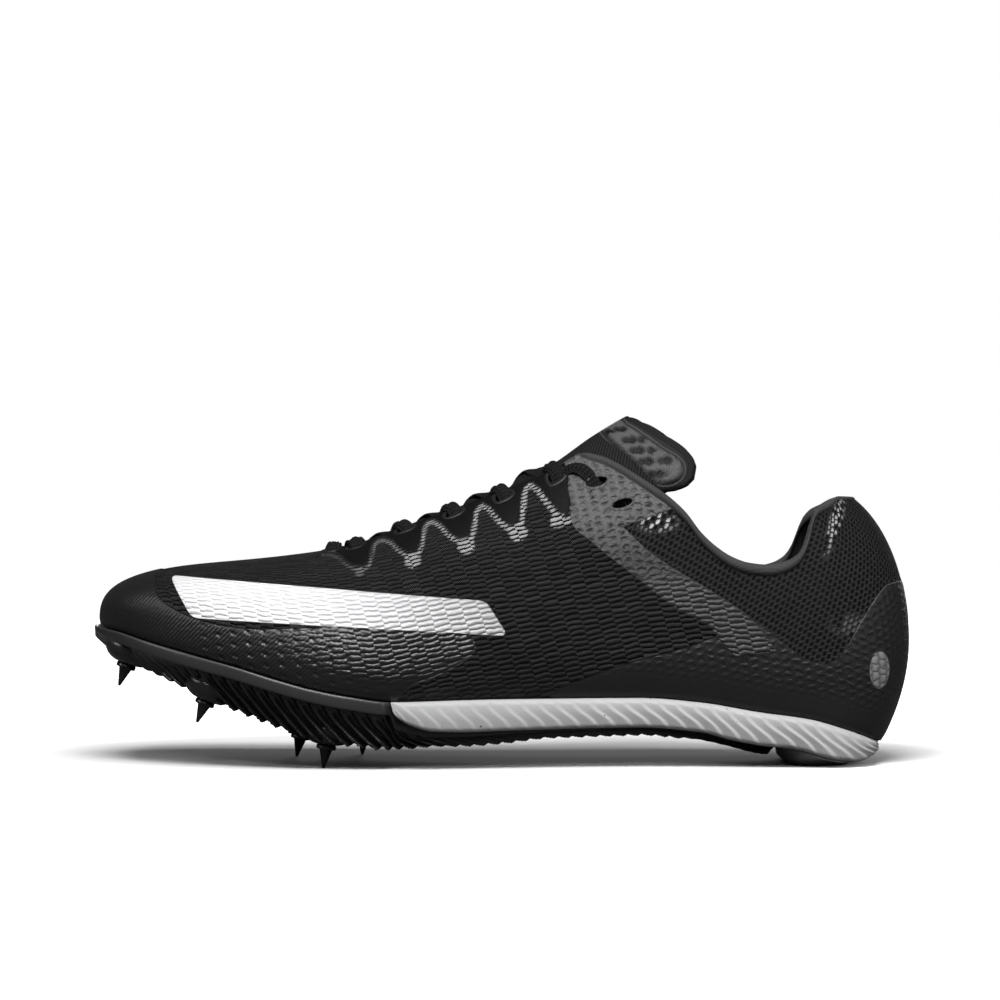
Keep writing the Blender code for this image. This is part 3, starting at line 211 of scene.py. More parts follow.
def throatHalf(x):
    # half the width: widens evenly with x behind a round nose, sqrt(1 - (1 - n)^2)
    front, top = alongX(throat["front"]), alongX(collarTable["along"][-1])
    share = np.clip((x - front) / (top - front), 0, 1)
    nose = np.clip((x - front) / throat["round"], 0, 1)
    return (throat["width"] + throat["spread"] * share) / 2 * np.sqrt(np.clip(1 - (1 - nose) ** 2, 0, 1))


def openRise(s):
    # the lower of the throat's side and the collar, or 1 where the vamp is closed
    byThroat = riseAtDistance(s, throatHalf(s["cx"]))
    readAt = s["cx"] + s["dx"] * throat["collarFan"]
    drop = throat["medialDrop"] * (s["dy"] > 0) * s["dy"] * (1 - ease((-s["cx"] - 40.0) / 30.0))
    byCollar = riseAtHeight(s, last["instepHeight"] * readTable(collarTable, "height", readAt) - drop)
    return np.where(s["cx"] > alongX(collarTable["along"][-1]), np.minimum(byThroat, byCollar), byThroat)


def loopStations(count, fanCount, outline):
    # laps at even steps of the outline's length: toe, lateral side, round the heel, medial side, toe
    dense = 1 - (1 - np.linspace(0, 1, 3000)) ** 2.5
    run = 0.0
    for side in (-1.0, 1.0):
        points = outline(np.full_like(dense, side), dense)
        run = run + np.concatenate([[0], np.cumsum(np.linalg.norm(np.diff(points, axis=0), axis=1))])
    laps = np.interp(np.linspace(0, run[-1], count + 1), run, dense)
    half = np.concatenate([laps[::-1], -np.linspace(0, 1, fanCount + 1)[1:]])
    sides = np.concatenate([-np.ones(len(half)), np.ones(len(half) - 1)])
    return np.concatenate([half, half[-2::-1]]), sides


def unit(v):
    # v over its own length
    return v / np.maximum(np.linalg.norm(v, axis=-1, keepdims=True), 1e-9)


def runAlong(points):
    # distance along each row of points
    steps = np.linalg.norm(np.diff(points, axis=1), axis=2)
    return np.concatenate([np.zeros((len(points), 1)), np.cumsum(steps, axis=1)], axis=1)


def readRows(run, values, at):
    # linear reading of every row's values at its own distances, rows kept apart by a large offset
    offset = np.arange(len(run))[:, None] * 1e4
    where, source = (at + offset).ravel(), (run + offset).ravel()
    return np.stack([np.interp(where, source, values[..., k].ravel()).reshape(at.shape)
                     for k in range(values.shape[-1])], -1)


def gridNormals(points):
    # cross product of the central differences along both directions of the grid
    along = np.gradient(points, axis=0)
    up = np.gradient(points, axis=1)
    return unit(np.cross(up, along))


def polygonDistance(x, z, outline):
    # signed distance to a closed outline in the side view, positive inside
    a = np.array(outline, float)
    b = np.roll(a, -1, axis=0)
    p = np.stack([x.ravel(), z.ravel()], -1)[:, None, :]
    edge = (b - a)[None]
    t = np.clip(((p - a) * edge).sum(-1) / np.maximum((edge * edge).sum(-1), 1e-9), 0, 1)
    near = np.linalg.norm(p - (a + edge * t[..., None]), axis=-1).min(1)
    up = (a[:, 1] > p[..., 1]) != (b[:, 1] > p[..., 1])
    with np.errstate(divide="ignore", invalid="ignore"):
        cross = p[..., 0] < (b[:, 0] - a[:, 0]) * (p[..., 1] - a[:, 1]) / (b[:, 1] - a[:, 1]) + a[:, 0]
    inside = (up & cross).sum(1) % 2 == 1
    return np.where(inside, near, -near).reshape(x.shape)


def makeMesh(name, points, faces, uv=None, values=None, slots=None, mergeAt=0.004):
    # arrays of points (mm) and quads into one welded object with a UV map and point values
    mesh = bpy.data.meshes.new(name)
    flat = np.ascontiguousarray(points.reshape(-1, 3) * mm, dtype=np.float32)
    mesh.vertices.add(len(flat))
    mesh.vertices.foreach_set("co", flat.ravel())
    faces = np.ascontiguousarray(faces, dtype=np.int32)
    mesh.loops.add(faces.size)
    mesh.loops.foreach_set("vertex_index", faces.ravel())
    mesh.polygons.add(len(faces))
    mesh.polygons.foreach_set("loop_start", np.arange(0, faces.size, faces.shape[1], dtype=np.int32))
    if slots is not None:
        mesh.polygons.foreach_set("material_index", np.ascontiguousarray(slots, dtype=np.int32))
    if uv is not None:
        layer = mesh.uv_layers.new(name="fabric")
        corners = np.ascontiguousarray(uv.reshape(-1, 2)[faces.ravel()], dtype=np.float32)
        layer.data.foreach_set("uv", corners.ravel())
    for key, value in (values or {}).items():
        attribute = mesh.attributes.new(key, "FLOAT", "POINT")
        attribute.data.foreach_set("value", np.ascontiguousarray(value.ravel(), dtype=np.float32))
    mesh.update(calc_edges=True)
    mesh.validate()
    bm = bmesh.new()
    bm.from_mesh(mesh)
    bmesh.ops.remove_doubles(bm, verts=bm.verts, dist=mergeAt * mm)
    bmesh.ops.dissolve_degenerate(bm, edges=bm.edges, dist=1e-7)
    loose = [v for v in bm.verts if not v.link_faces]
    bmesh.ops.delete(bm, geom=loose, context="VERTS")
    bmesh.ops.recalc_face_normals(bm, faces=bm.faces)
    bm.to_mesh(mesh)
    bm.free()
    mesh.shade_smooth()
    made = bpy.data.objects.new(name, mesh)
    scene.collection.objects.link(made)
    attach(made, "root")
    return made


def gridFaces(stations, rows, closed=False):
    # quads between neighbouring stations and rows; closed joins the last row to the first
    i = np.arange(stations - 1)[:, None]
    j = np.arange(rows if closed else rows - 1)[None, :]
    k = (j + 1) % rows
    return np.stack([i * rows + j, (i + 1) * rows + j, (i + 1) * rows + k, i * rows + k], -1).reshape(-1, 4)


# Shader helpers

def put(tree, kind, feeds=None, **settings):
    # a node with its settings made, its sockets filled with numbers or wired to other sockets
    node = tree.nodes.new(kind)
    for key, value in settings.items():
        setattr(node, key, value)
    for key, value in (feeds or {}).items():
        if isinstance(value, bpy.types.NodeSocket):
            tree.links.new(value, node.inputs[key])
        else:
            node.inputs[key].default_value = value
    return node


def calc(tree, operation, *values, clamp=False):
    # one Math node: operation(values), held between 0 and 1 if clamped
    node = put(tree, "ShaderNodeMath", dict(enumerate(values)), operation=operation, use_clamp=clamp)
    return node.outputs[0]


def times(tree, a, b):
    # a b
    return calc(tree, "MULTIPLY", a, b)


def plus(tree, a, b, clamp=False):
    # a + b
    return calc(tree, "ADD", a, b, clamp=clamp)


def minus(tree, a, b, clamp=False):
    # a - b
    return calc(tree, "SUBTRACT", a, b, clamp=clamp)


def soften(tree, value, low, high):
    # 0 below low, 1 above high, smooth between
    return put(tree, "ShaderNodeMapRange", {"Value": value, "From Min": low, "From Max": high},
               interpolation_type="SMOOTHSTEP").outputs[0]


def blend(tree, mask, a, b):
    # number or socket a where the mask is 0, b where it is 1
    return plus(tree, times(tree, minus(tree, 1.0, mask), a),
                times(tree, mask, b))


def tint(tree, mask, a, b):
    # a + (b - a) mask, for colours
    a, b = ((*c, 1.0) if isinstance(c, tuple) and len(c) == 3 else c for c in (a, b))
    node = put(tree, "ShaderNodeMix", data_type="RGBA")
    for socket, value in ((node.inputs[0], mask), (node.inputs[6], a), (node.inputs[7], b)):
        if isinstance(value, bpy.types.NodeSocket):
            tree.links.new(value, socket)
        else:
            socket.default_value = value
    return node.outputs[2]


def newMaterial(name, **constants):
    # a material with its constants on the Principled shader
    made = bpy.data.materials.new(name)
    made.use_nodes = True
    tree = made.node_tree
    shader = tree.nodes["Principled BSDF"]
    for key, value in constants.items():
        shader.inputs[key.replace("_", " ")].default_value = value
    return made, tree, shader


def newGroup(name, inputs, outputs):
    # an empty group with its named sockets: (name, kind, value)
    tree = bpy.data.node_groups.new(name, "ShaderNodeTree")
    for label, kind, value in inputs:
        socket = tree.interface.new_socket(name=label, in_out="INPUT", socket_type="NodeSocket" + kind)
        if value is not None:
            socket.default_value = value
    for label, kind in outputs:
        tree.interface.new_socket(name=label, in_out="OUTPUT", socket_type="NodeSocket" + kind)
    return tree, tree.nodes.new("NodeGroupInput"), tree.nodes.new("NodeGroupOutput")


def placeGroup(tree, group, **feeds):
    # a group node with its inputs fed by name
    node = tree.nodes.new("ShaderNodeGroup")
    node.node_tree = group
    for key, value in feeds.items():
        socket = node.inputs[key.replace("_", " ")]
        if isinstance(value, bpy.types.NodeSocket):
            tree.links.new(value, socket)
        else:
            socket.default_value = value
    return node.outputs


def makeCellGroup():
    # Cells in leaning columns, each column shifted against its neighbour: dome = (1 - d |2fx|^a)(1 - |2fy|^b)
    tree, source, result = newGroup(
        "staggeredCells",
        [("Position", "Vector", None), ("Width", "Float", 5.2), ("Height", "Float", 1.85),
         ("Shift", "Float", 0.5), ("Slope", "Float", 0.0), ("Lean", "Float", 0.0), ("Uneven", "Float", 0.0),
         ("End Power", "Float", 6.0), ("End Depth", "Float", 1.0), ("Side Power", "Float", 2.0)],
        [("Dome", "Float"), ("Random", "Float")])
    inward = source.outputs
    split = put(tree, "ShaderNodeSeparateXYZ", {0: inward["Position"]})
    flat = calc(tree, "DIVIDE", plus(tree, split.outputs[0], times(tree, split.outputs[1],
                                                                   inward["Lean"])), inward["Width"])
    x = plus(tree, flat, times(tree, calc(tree, "SINE", times(tree, flat, math.pi)),
                               inward["Uneven"]))
    column = calc(tree, "FLOOR", x)
    fx = minus(tree, calc(tree, "FRACT", x), 0.5)
    level = minus(tree, split.outputs[1], times(tree, split.outputs[0], inward["Slope"]))
    y = plus(tree, calc(tree, "DIVIDE", level, inward["Height"]),
             times(tree, column, inward["Shift"]))
    row = calc(tree, "FLOOR", y)
    fy = minus(tree, calc(tree, "FRACT", y), 0.5)
    ends = times(tree, inward["End Depth"], calc(
        tree, "POWER", times(tree, calc(tree, "ABSOLUTE", fx), 2.0), inward["End Power"]))
    sides = calc(tree, "POWER", times(tree, calc(tree, "ABSOLUTE", fy), 2.0), inward["Side Power"])
    dome = times(tree, minus(tree, 1.0, ends, clamp=True),
                 minus(tree, 1.0, sides, clamp=True))
    cell = put(tree, "ShaderNodeCombineXYZ", {0: column, 1: row})
    noise = put(tree, "ShaderNodeTexWhiteNoise", {"Vector": cell.outputs[0]}, noise_dimensions="2D")
    tree.links.new(dome, result.inputs["Dome"])
    tree.links.new(noise.outputs["Value"], result.inputs["Random"])
    return tree


def makeYarnGroup():
    # Twisted yarn: slanted stripes sin(2 pi (x + slant y) / pitch), roughened by a little noise
    tree, source, result = newGroup(
        "twistedYarn",
        [("Position", "Vector", None), ("Pitch", "Float", 0.85), ("Slant", "Float", 0.6),
         ("Fuzz", "Float", 0.4)],
        [("Height", "Float")])
    split = put(tree, "ShaderNodeSeparateXYZ", {0: source.outputs["Position"]})
    slanted = plus(tree, split.outputs[0], times(tree, split.outputs[1], source.outputs["Slant"]))
    noise = put(tree, "ShaderNodeTexNoise",
                {"Vector": source.outputs["Position"], "Scale": 1.7, "Detail": 3.0})
    turn = times(tree, calc(tree, "DIVIDE", slanted, source.outputs["Pitch"]), 2 * math.pi)
    wave = times(tree, plus(tree, calc(tree, "SINE", turn), 1.0), 0.5)
    mixed = plus(tree, wave, times(tree, noise.outputs["Fac"], source.outputs["Fuzz"]))
    tree.links.new(mixed, result.inputs["Height"])
    return tree


def makeSpeckGroup():
    # Specks: the cells of a Voronoi pattern whose random number is low carry a small dot
    tree, source, result = newGroup(
        "specks",
        [("Position", "Vector", None), ("Spacing", "Float", 1.6), ("Size", "Float", 0.12),
         ("Share", "Float", 0.3)],
        [("Mask", "Float")])
    scaled = put(tree, "ShaderNodeVectorMath", {0: source.outputs["Position"]}, operation="SCALE")
    tree.links.new(calc(tree, "DIVIDE", 1.0, source.outputs["Spacing"]), scaled.inputs["Scale"])
    cells = put(tree, "ShaderNodeTexVoronoi", {"Vector": scaled.outputs[0], "Scale": 1.0})
    pick = put(tree, "ShaderNodeSeparateXYZ", {0: cells.outputs["Color"]})
    chosen = calc(tree, "LESS_THAN", pick.outputs[0], source.outputs["Share"])
    size = times(tree, source.outputs["Size"], plus(tree, pick.outputs[1], 0.4))
    dot = calc(tree, "LESS_THAN", cells.outputs["Distance"], size)
    tree.links.new(times(tree, chosen, dot), result.inputs["Mask"])
    return tree


def makeGrainGroup():
    # Grain: two sizes of noise, as height and as a slow mottle
    tree, source, result = newGroup(
        "grain", [("Position", "Vector", None), ("Fine", "Float", 3.0), ("Coarse", "Float", 0.08)],
        [("Height", "Float"), ("Mottle", "Float")])
    for scale, key, detail in (("Fine", "Height", 4.0), ("Coarse", "Mottle", 2.0)):
        noise = put(tree, "ShaderNodeTexNoise", {"Vector": source.outputs["Position"], "Detail": detail})
        tree.links.new(source.outputs[scale], noise.inputs["Scale"])
        tree.links.new(noise.outputs["Fac"], result.inputs[key])
    return tree


def makeWobbleGroup():
    # Wobble: position + amount (noise - 1/2)
    tree, source, result = newGroup(
        "wobble", [("Position", "Vector", None), ("Scale", "Float", 0.3), ("Amount", "Float", 1.0)],
        [("Position", "Vector")])
    noise = put(tree, "ShaderNodeTexNoise", {"Vector": source.outputs["Position"], "Detail": 2.0})
    tree.links.new(source.outputs["Scale"], noise.inputs["Scale"])
    centred = put(tree, "ShaderNodeVectorMath", {0: noise.outputs["Color"], 1: (0.5, 0.5, 0.5)},
                  operation="SUBTRACT")
    scaled = put(tree, "ShaderNodeVectorMath", {0: centred.outputs[0]}, operation="SCALE")
    tree.links.new(source.outputs["Amount"], scaled.inputs["Scale"])
    moved = put(tree, "ShaderNodeVectorMath", {0: source.outputs["Position"], 1: scaled.outputs[0]},
                operation="ADD")
    tree.links.new(moved.outputs[0], result.inputs["Position"])
    return tree


cellGroup, yarnGroup, speckGroup, grainGroup, wobbleGroup = (
    makeCellGroup(), makeYarnGroup(), makeSpeckGroup(), makeGrainGroup(), makeWobbleGroup())


def objectMm(tree):
    # Object coordinates in millimetres
    coords = put(tree, "ShaderNodeTexCoord")
    return put(tree, "ShaderNodeVectorMath", {0: coords.outputs["Object"], "Scale": 1000.0},
               operation="SCALE").outputs[0]


def fabricMm(tree):
    # millimetres on the fabric, from the piece's own UV map
    return put(tree, "ShaderNodeUVMap", uv_map="fabric").outputs[0]


def read(tree, name):
    # a value that the mesh carries
    return put(tree, "ShaderNodeAttribute", attribute_name=name).outputs["Fac"]


def bump(tree, shader, height, distance=1.0):
    # relief on the shader from a height in mm
    node = put(tree, "ShaderNodeBump", {"Height": height, "Distance": distance * mm, "Strength": 1.0})
    tree.links.new(node.outputs[0], shader.inputs["Normal"])


print("stage: upper")

upperLook = {
    "stations": 240, "fan": 62, "outerRows": 84, "rollRows": 12, "innerRows": 16,
    "edgeRadius": 0.95, "pipingRadius": 2.1, "pipingFrom": -84.0,
    "filmHeight": 0.35, "saddleHeight": 0.55, "tabHeight": 0.45,
}

# Lines between the panels in the side view, (x, z) in mm
saddleFront = ((-92, 125), (-87.7, 103.1), (-86.3, 98.9), (-87.1, 95.6), (-85.7, 90.6), (-86.3, 84.8),
               (-84.3, 81.0), (-80.2, 78.2), (-75.5, 74.1), (-69.2, 69.3), (-60.7, 62.8), (-53.1, 56.3),
               (-45.3, 52.2), (-39.1, 49.1), (-36.4, 45.3))
saddleRear = ((-68.5, 82.3), (-63.9, 78.2), (-60.7, 74.8), (-55.5, 71.0), (-49.0, 66.9), (-38.4, 60.7),
              (-27.8, 53.9), (-22.0, 48.1))
meshTop = ((-40, 95), (-51.4, 88.4), (-56.6, 86.9), (-61.4, 84.8), (-66.8, 83.1), (-68.5, 82.3))
meshLow = ((-27.8, 53.9), (-21.8, 49.0), (-15.0, 43.9), (-9.9, 39.8), (-4.8, 36.4), (2.1, 35.3), (7.6, 40.4),
           (12.9, 49.9), (20.1, 60.3), (25.0, 63.5), (60, 66))
knitLow = ((-36.4, 45.3), (-47.0, 41.2), (-59.2, 38.1), (-69.5, 35.4), (-83.1, 30.3), (-96.0, 25.3),
           (-106, -20))
glossEdge = ((-229.0, 66), (-227.5, 57.4), (-211.7, 50.2), (-194.5, 47.7), (-177.5, 48.4), (-160.7, 49.1),
             (-143.9, 49.8), (-130.5, 48.7), (-122.0, 46.4), (-117.7, 43.3), (-119.5, 38.6), (-130.5, 32.4),
             (-143.5, 28.4), (-158, 0))
tabEdge = ((-175, 74.0), (-166.3, 73.8), (-160.9, 69.3), (-156.4, 69.3), (-155.5, 70.5), (-154.5, 78.4),
           (-148.3, 79.0), (-142.6, 73.8), (-138.9, 73.8), (-138.0, 76.7), (-136.9, 84.7),
           (-131.7, 85.3), (-125.2, 78.4), (-120.9, 78.7), (-120.3, 82.4), (-119.4, 89.2),
           (-115.2, 91.5), (-108.0, 83.0), (-104.3, 83.2), (-103.5, 88.1), (-102.9, 96.1),
           (-98.7, 98.9), (-90.0, 87.0), (-86.3, 84.8), (-84, 125), (-180, 125))
patches = ((-158.1, 67.2, 2.0, 0.35), (-139.9, 70.9, 2.9, 0.6), (-121.7, 75.8, 2.9, 0.8),
           (-104.1, 80.3, 3.0, 1.0), (-90.5, 84.4, 2.6, 0.9))
panelOutline = ((-223.5, 65.6), (-115, 57.4), (-107.5, 45.6), (-214.5, 51.6))


def cutCorners(points, rounds=2, closed=False):
    # each corner replaced by points a quarter of the way along its two sides
    points = np.array(points, float)
    for _ in range(rounds):
        a, b = (points, np.roll(points, -1, axis=0)) if closed else (points[:-1], points[1:])
        cut = np.stack([a * 0.75 + b * 0.25, a * 0.25 + b * 0.75], 1).reshape(-1, 2)
        points = cut if closed else np.concatenate([points[:1], cut, points[-1:]])
    return points


def roundedBox(corners, reach):
    # a closed outline whose corners are rounded over the given length
    corners = np.array(corners, float)
    before, after = unit(np.roll(corners, 1, axis=0) - corners), unit(np.roll(corners, -1, axis=0) - corners)
    points = np.stack([corners + before * reach, corners + after * reach], 1).reshape(-1, 2)
    return cutCorners(np.stack([points[0::2], corners, points[1::2]], 1).reshape(-1, 2), 4, True)


def panelOutlines():
    # outlines of the upper's panels in side view, x and z in mm
    front, rear, top = cutCorners(saddleFront), cutCorners(saddleRear), cutCorners(meshTop)
    low, knit = cutCorners(meshLow), cutCorners(knitLow)
    join = np.concatenate
    return {
        "saddle": join([front, [(-30, 38), (-16, 40)], rear[::-1], top[::-1], [(-40, 125)]]),
        "mesh": join([top, rear[:-3], low, [(60, 130), (-40, 130)]]),
        "knit": join([front, knit, [(-400, -20), (-400, 125)]]),
        "gloss": join([[(-400, 125), (-232, 125)], cutCorners(glossEdge), [(-400, 0)]]),
        "panel": roundedBox(panelOutline, 5.0),
        "tabs": cutCorners(tabEdge, 1, True),
    }


def buildUpper():
    # one sheet: up the outside along each section, round the edge and down the lining;
    # outer points move along their normals by the step of the panel that covers them
    look = upperLook

    def outline(side, lap):
        # the edge seen from above, used to spread the stations
        s = section(side, lap)
        return skin(s, np.full((len(lap), 1), last["bellyShare"]))[:, 0, :]

    laps, sides = loopStations(look["stations"], look["fan"], outline)
    outer = section(sides, laps)
    edge = openRise(outer)
    opened = edge < 0.9999
    dense = skin(outer, edge[:, None] * np.linspace(0, 1, 400)[None, :])
    run = runAlong(dense)
    total = run[:, -1]

    # the edge roll: a circle of radius r round a centre in the middle of the wall, r below the edge
    piping = ease((outer["cx"] - look["pipingFrom"]) / 5.0)
    piping *= 1 - 0.85 * ease((outer["cx"] + outer["dx"] * outer["wide"] - 6.0) / 12.0)
    radius = look["edgeRadius"] + (look["pipingRadius"] - look["edgeRadius"]) * piping
    radius = np.maximum(np.minimum(radius, throatHalf(outer["cx"]) * 0.3 + 0.25 + piping * 9), 0.25)
    halfWall = np.minimum(last["wall"] / 2, radius * 0.92)
    start = -np.arccos(halfWall / radius)
    endRun = np.where(opened, total - radius + radius * np.sin(start), total)
    shares = np.linspace(0, 1, look["outerRows"])
    at = endRun[:, None] * shares[None, :]
    points = readRows(run, dense, at)
    normals = gridNormals(points)
    flip = np.sign((normals[..., 0] * outer["dx"][:, None] + normals[..., 1] * outer["dy"][:, None]
                    + normals[..., 2] * 0.3))
    normals *= np.where(flip == 0, 1, flip)[..., None]

    x, z = points[..., 0], points[..., 2]
    down = total[:, None] - at                       # distance below the top edge
    masks = {key: polygonDistance(x, z, line) for key, line in panelOutlines().items()}
    masks["tabs"] = np.where(opened[:, None] & (x < -70), np.maximum(masks["tabs"], 3.0 - down), -9.0)
    masks["tabs"] = np.minimum(masks["tabs"], np.where(x > -90, masks["knit"], 9.0))
    masks["dot"] = np.where(x > 0, 3.2 - np.hypot((x - 19.5) / 1.15, (z - 33.3) / 2.0), -9.0)
    seamShare = np.interp(x, (-170, -140, -105), (0.25, 0.6, 1.0))
    stitch = np.clip(1.2 - np.abs(masks["tabs"] + 1.3) / 0.95, 0, 1) * seamShare
    for atX, atZ, size, strength in patches:
        stitch = np.maximum(stitch, strength * ease((size - np.hypot(x - atX, (z - atZ) * 1.1)) / 1.2 + 0.5))
    masks["stitch"] = stitch * (masks["tabs"] < 0.4) * (masks["knit"] > -0.5) * (x < -84) * opened[:, None]
    masks["up"] = at
    # three places with painted light: pale spots in the mesh's holes stand in for light seen through them
    front = np.hypot((x + 56.5) / 6.5, (z - 84.0) / 3.4)
    back = np.hypot((x - 4.5 + (z - 82) * -0.35) / 2.4, (z - 84) / 11.0)
    low = np.hypot((x - 9.0) / 8.0, (z - 49) / 4.5)
    masks["through"] = np.maximum.reduce([ease(1.3 - front), ease(1.3 - back) * 0.7, ease(1.2 - low) * 0.15])
    step = {key: ease(masks[key] / 1.2 + 0.5) for key in ("saddle", "gloss", "panel", "tabs", "dot")}
    film = np.maximum(step["gloss"], step["panel"]) * look["filmHeight"]
    rear = ease(0.5 - np.maximum(masks["knit"], masks["mesh"]) / 1.2) * look["filmHeight"]
    lift = np.maximum.reduce([film, rear, step["saddle"] * look["saddleHeight"],
                              step["tabs"] * look["tabHeight"]])
    lift = lift * ease(at / 3.0) + step["dot"] * 0.2
    points = points + normals * lift[..., None]

    # the roll and the lining
    tangent = unit(dense[:, -1] - readRows(run, dense, (total - 2.5)[:, None])[:, 0])
    ahead = np.gradient(dense[:, -1], axis=0)
    outward = unit(np.cross(tangent, ahead))
    side = np.sign(outward[:, 0] * outer["dx"] + outward[:, 1] * outer["dy"] + outward[:, 2] * 0.3)
    outward = unit(outward * np.where(side == 0, 1, side)[:, None])
    centre = readRows(run, dense, (total - radius)[:, None])[:, 0] - outward * halfWall[:, None]
    turn = start[:, None] + (math.pi - 2 * start[:, None]) * np.linspace(0, 1, look["rollRows"])[None, :]
    roll = (centre[:, None] + radius[:, None, None]
            * (np.cos(turn)[..., None] * outward[:, None] + np.sin(turn)[..., None] * tangent[:, None]))
    innerShare = np.linspace(1, 0, look["innerRows"]) ** 0.9
    innerAt = endRun[:, None] * innerShare[None, :]
    innerNormals = readRows(at, normals, innerAt)
    inner = readRows(run, dense, innerAt) - unit(innerNormals) * (2 * halfWall)[:, None, None]
    roll = np.where(opened[:, None, None], roll, points[:, -1:, :])
    rings = np.concatenate([points, roll, inner], axis=1)
    closed = ~opened
    top, low = look["outerRows"] - 1, look["outerRows"] + look["rollRows"]
    for row in (top, low):                            # both sides meet on the ridge in front of the throat
        middle = (rings[:, row] + rings[::-1, row]) / 2
        rings[:, row] = np.where(closed[:, None], middle, rings[:, row])
    rings[0], rings[-1] = (rings[0] + rings[-1]) / 2, (rings[0] + rings[-1]) / 2

    stations, rows = rings.shape[:2]
    faces = gridFaces(stations, rows, True)
    i, j = faces[:, 0] // rows, faces[:, 0] % rows
    wall = (j >= top) & (j < low)
    keep = ~(wall & closed[i] & closed[np.minimum(i + 1, stations - 1)])
    centres = rings.reshape(-1, 3)[faces].mean(1)
    for row, _, point, normal in eyeletPlaces():
        along, up = holeFrame(row, normal)
        away = centres - point
        wide, above, below = eyeletLook["ovals"][row]
        a, b = away @ along, away @ up
        reach = np.hypot(a / (wide + 0.7), b / np.where(b > 0, above + 0.7, below + 0.7))
        keep &= ~((reach < 1) & (np.abs(away @ normal) < 5))
    faces, j = faces[keep], j[keep]
    slots = np.where(j < top, 0, np.where(j < low, 1, 2))
    girth = outline(sides, laps)
    u = np.concatenate([[0], np.cumsum(np.linalg.norm(np.diff(girth, axis=0), axis=1))])
    u = u - u[len(u) // 2]
    rollAt = np.repeat(endRun[:, None], look["rollRows"], 1) + np.arange(look["rollRows"]) * 0.4
    v = np.concatenate([at, rollAt, innerAt], axis=1)
    uv = np.stack([np.repeat(u[:, None], rows, 1), v], -1)
    values = {key: np.concatenate([value, np.full((stations, rows - value.shape[1]), -9.0)], axis=1)
              for key, value in masks.items()}
    return makeMesh("upper_knit", rings, faces, uv, values, slots)


def belowEdge(side, x, distance):
    # the point this far down the skin from the top edge at X, and the outward normal there
    lap = np.array([x / toeTip])
    s = section(np.array([float(side)]), lap)
    rises = np.linspace(1.0, 0.3, 90) * float(openRise(s)[0])
    path = skin(s, rises[None, :])
    rise = float(np.interp(distance, runAlong(path)[0], rises))
    here, lower = skin(s, np.array([[rise, rise - 0.01]]))[0]
    ahead = skin(section(np.array([float(side)]), np.array([(x - 1.0) / toeTip])), np.array([[rise]]))[0, 0]
    normal = unit(np.cross(lower - here, ahead - here))
    return here, normal if normal[2] > 0 else -normal


def eyeletPlaces():
    # point and normal a step below the throat's edge, for each row and side
    places = []
    for row, (share, margin) in enumerate(zip(eyelets["along"], eyelets["margin"])):
        x = float(alongX(share))
        for side in (-1, 1):
            point, normal = belowEdge(side, x, eyelets["step"] * margin)
            places.append((row, side, point, normal))
    return places


# half width, reach up and reach down of each row's opening
eyeletLook = {
    "ovals": ((2.0, 1.6, 1.9), (2.6, 2.2, 3.0), (2.9, 2.6, 3.6), (2.9, 2.6, 3.8), (2.9, 2.6, 3.9),
              (2.9, 2.7, 4.2), (3.6, 1.7, 1.7), (3.5, 1.4, 1.4)),
    "sides": 48, "raise": 0.62, "lowRaise": 0.72, "tilt": 18.0,
}


def holeFrame(row, normal):
    # directions in the surface: along the shoe and up the skin, turned for the two top holes
    up = unit(np.array([0.0, 0.0, 1.0]) - normal * normal[2])
    along = unit(np.cross(up, normal))
    along = along if along[0] > 0 else -along
    tilt = math.radians(eyeletLook["tilt"]) if row >= eyelets["laced"] - 1 else 0.0
    return along * math.cos(tilt) + up * math.sin(tilt), up * math.cos(tilt) - along * math.sin(tilt)


def buildEyeletRims():
    # a lip carried round each opening: (a cos u, b sin u) pushed outward by the profile's first number
    look = eyeletLook
    depth = last["wall"]
    turn = np.linspace(0, 2 * math.pi, look["sides"], endpoint=False)
    rings = []
    for row, _, point, normal in eyeletPlaces():
        along, up = holeFrame(row, normal)
        wide, above, below = look["ovals"][row]
        top = look["raise"] if row < eyelets["laced"] - 1 else look["lowRaise"]
        profile = np.array([(1.6, 0.05), (1.45, top - 0.22), (1.0, top - 0.04), (0.45, top),
                            (0.08, top - 0.2), (0.0, top - 0.5), (0.0, -depth), (0.3, -depth - 0.2),
                            (1.6, -depth - 0.15), (1.6, -depth + 0.3), (1.0, -0.5)])
        pinch = 1 - 0.30 * np.clip(-np.sin(turn), 0, 1) ** 1.5 * (row < eyelets["laced"] - 1)
        tallOf = np.where(np.sin(turn) > 0, above, below)
        flat = np.stack([wide * np.cos(turn) * pinch, tallOf * np.sin(turn)], -1)
        away = unit(flat)
        flat = flat[:, None] + away[:, None] * profile[None, :, :1]
        rings.append(point + flat[..., :1] * along + flat[..., 1:] * up + normal * profile[None, :, 1:])
    count, rows = len(turn), rings[0].shape[1]
    i, j = np.arange(count)[:, None], np.arange(rows)[None, :]
    n, k = (i + 1) % count, (j + 1) % rows
    one = np.stack([i * rows + j, n * rows + j, n * rows + k, i * rows + k], -1).reshape(-1, 4)
    faces = np.concatenate([one + index * count * rows for index in range(len(rings))])
    grey = (faces[:, 0] // (count * rows) // 2 >= eyelets["laced"] - 1) & (faces[:, 0] % rows < 4)
    return makeMesh("eyelet_rims", np.array(rings), faces, slots=grey.astype(int))


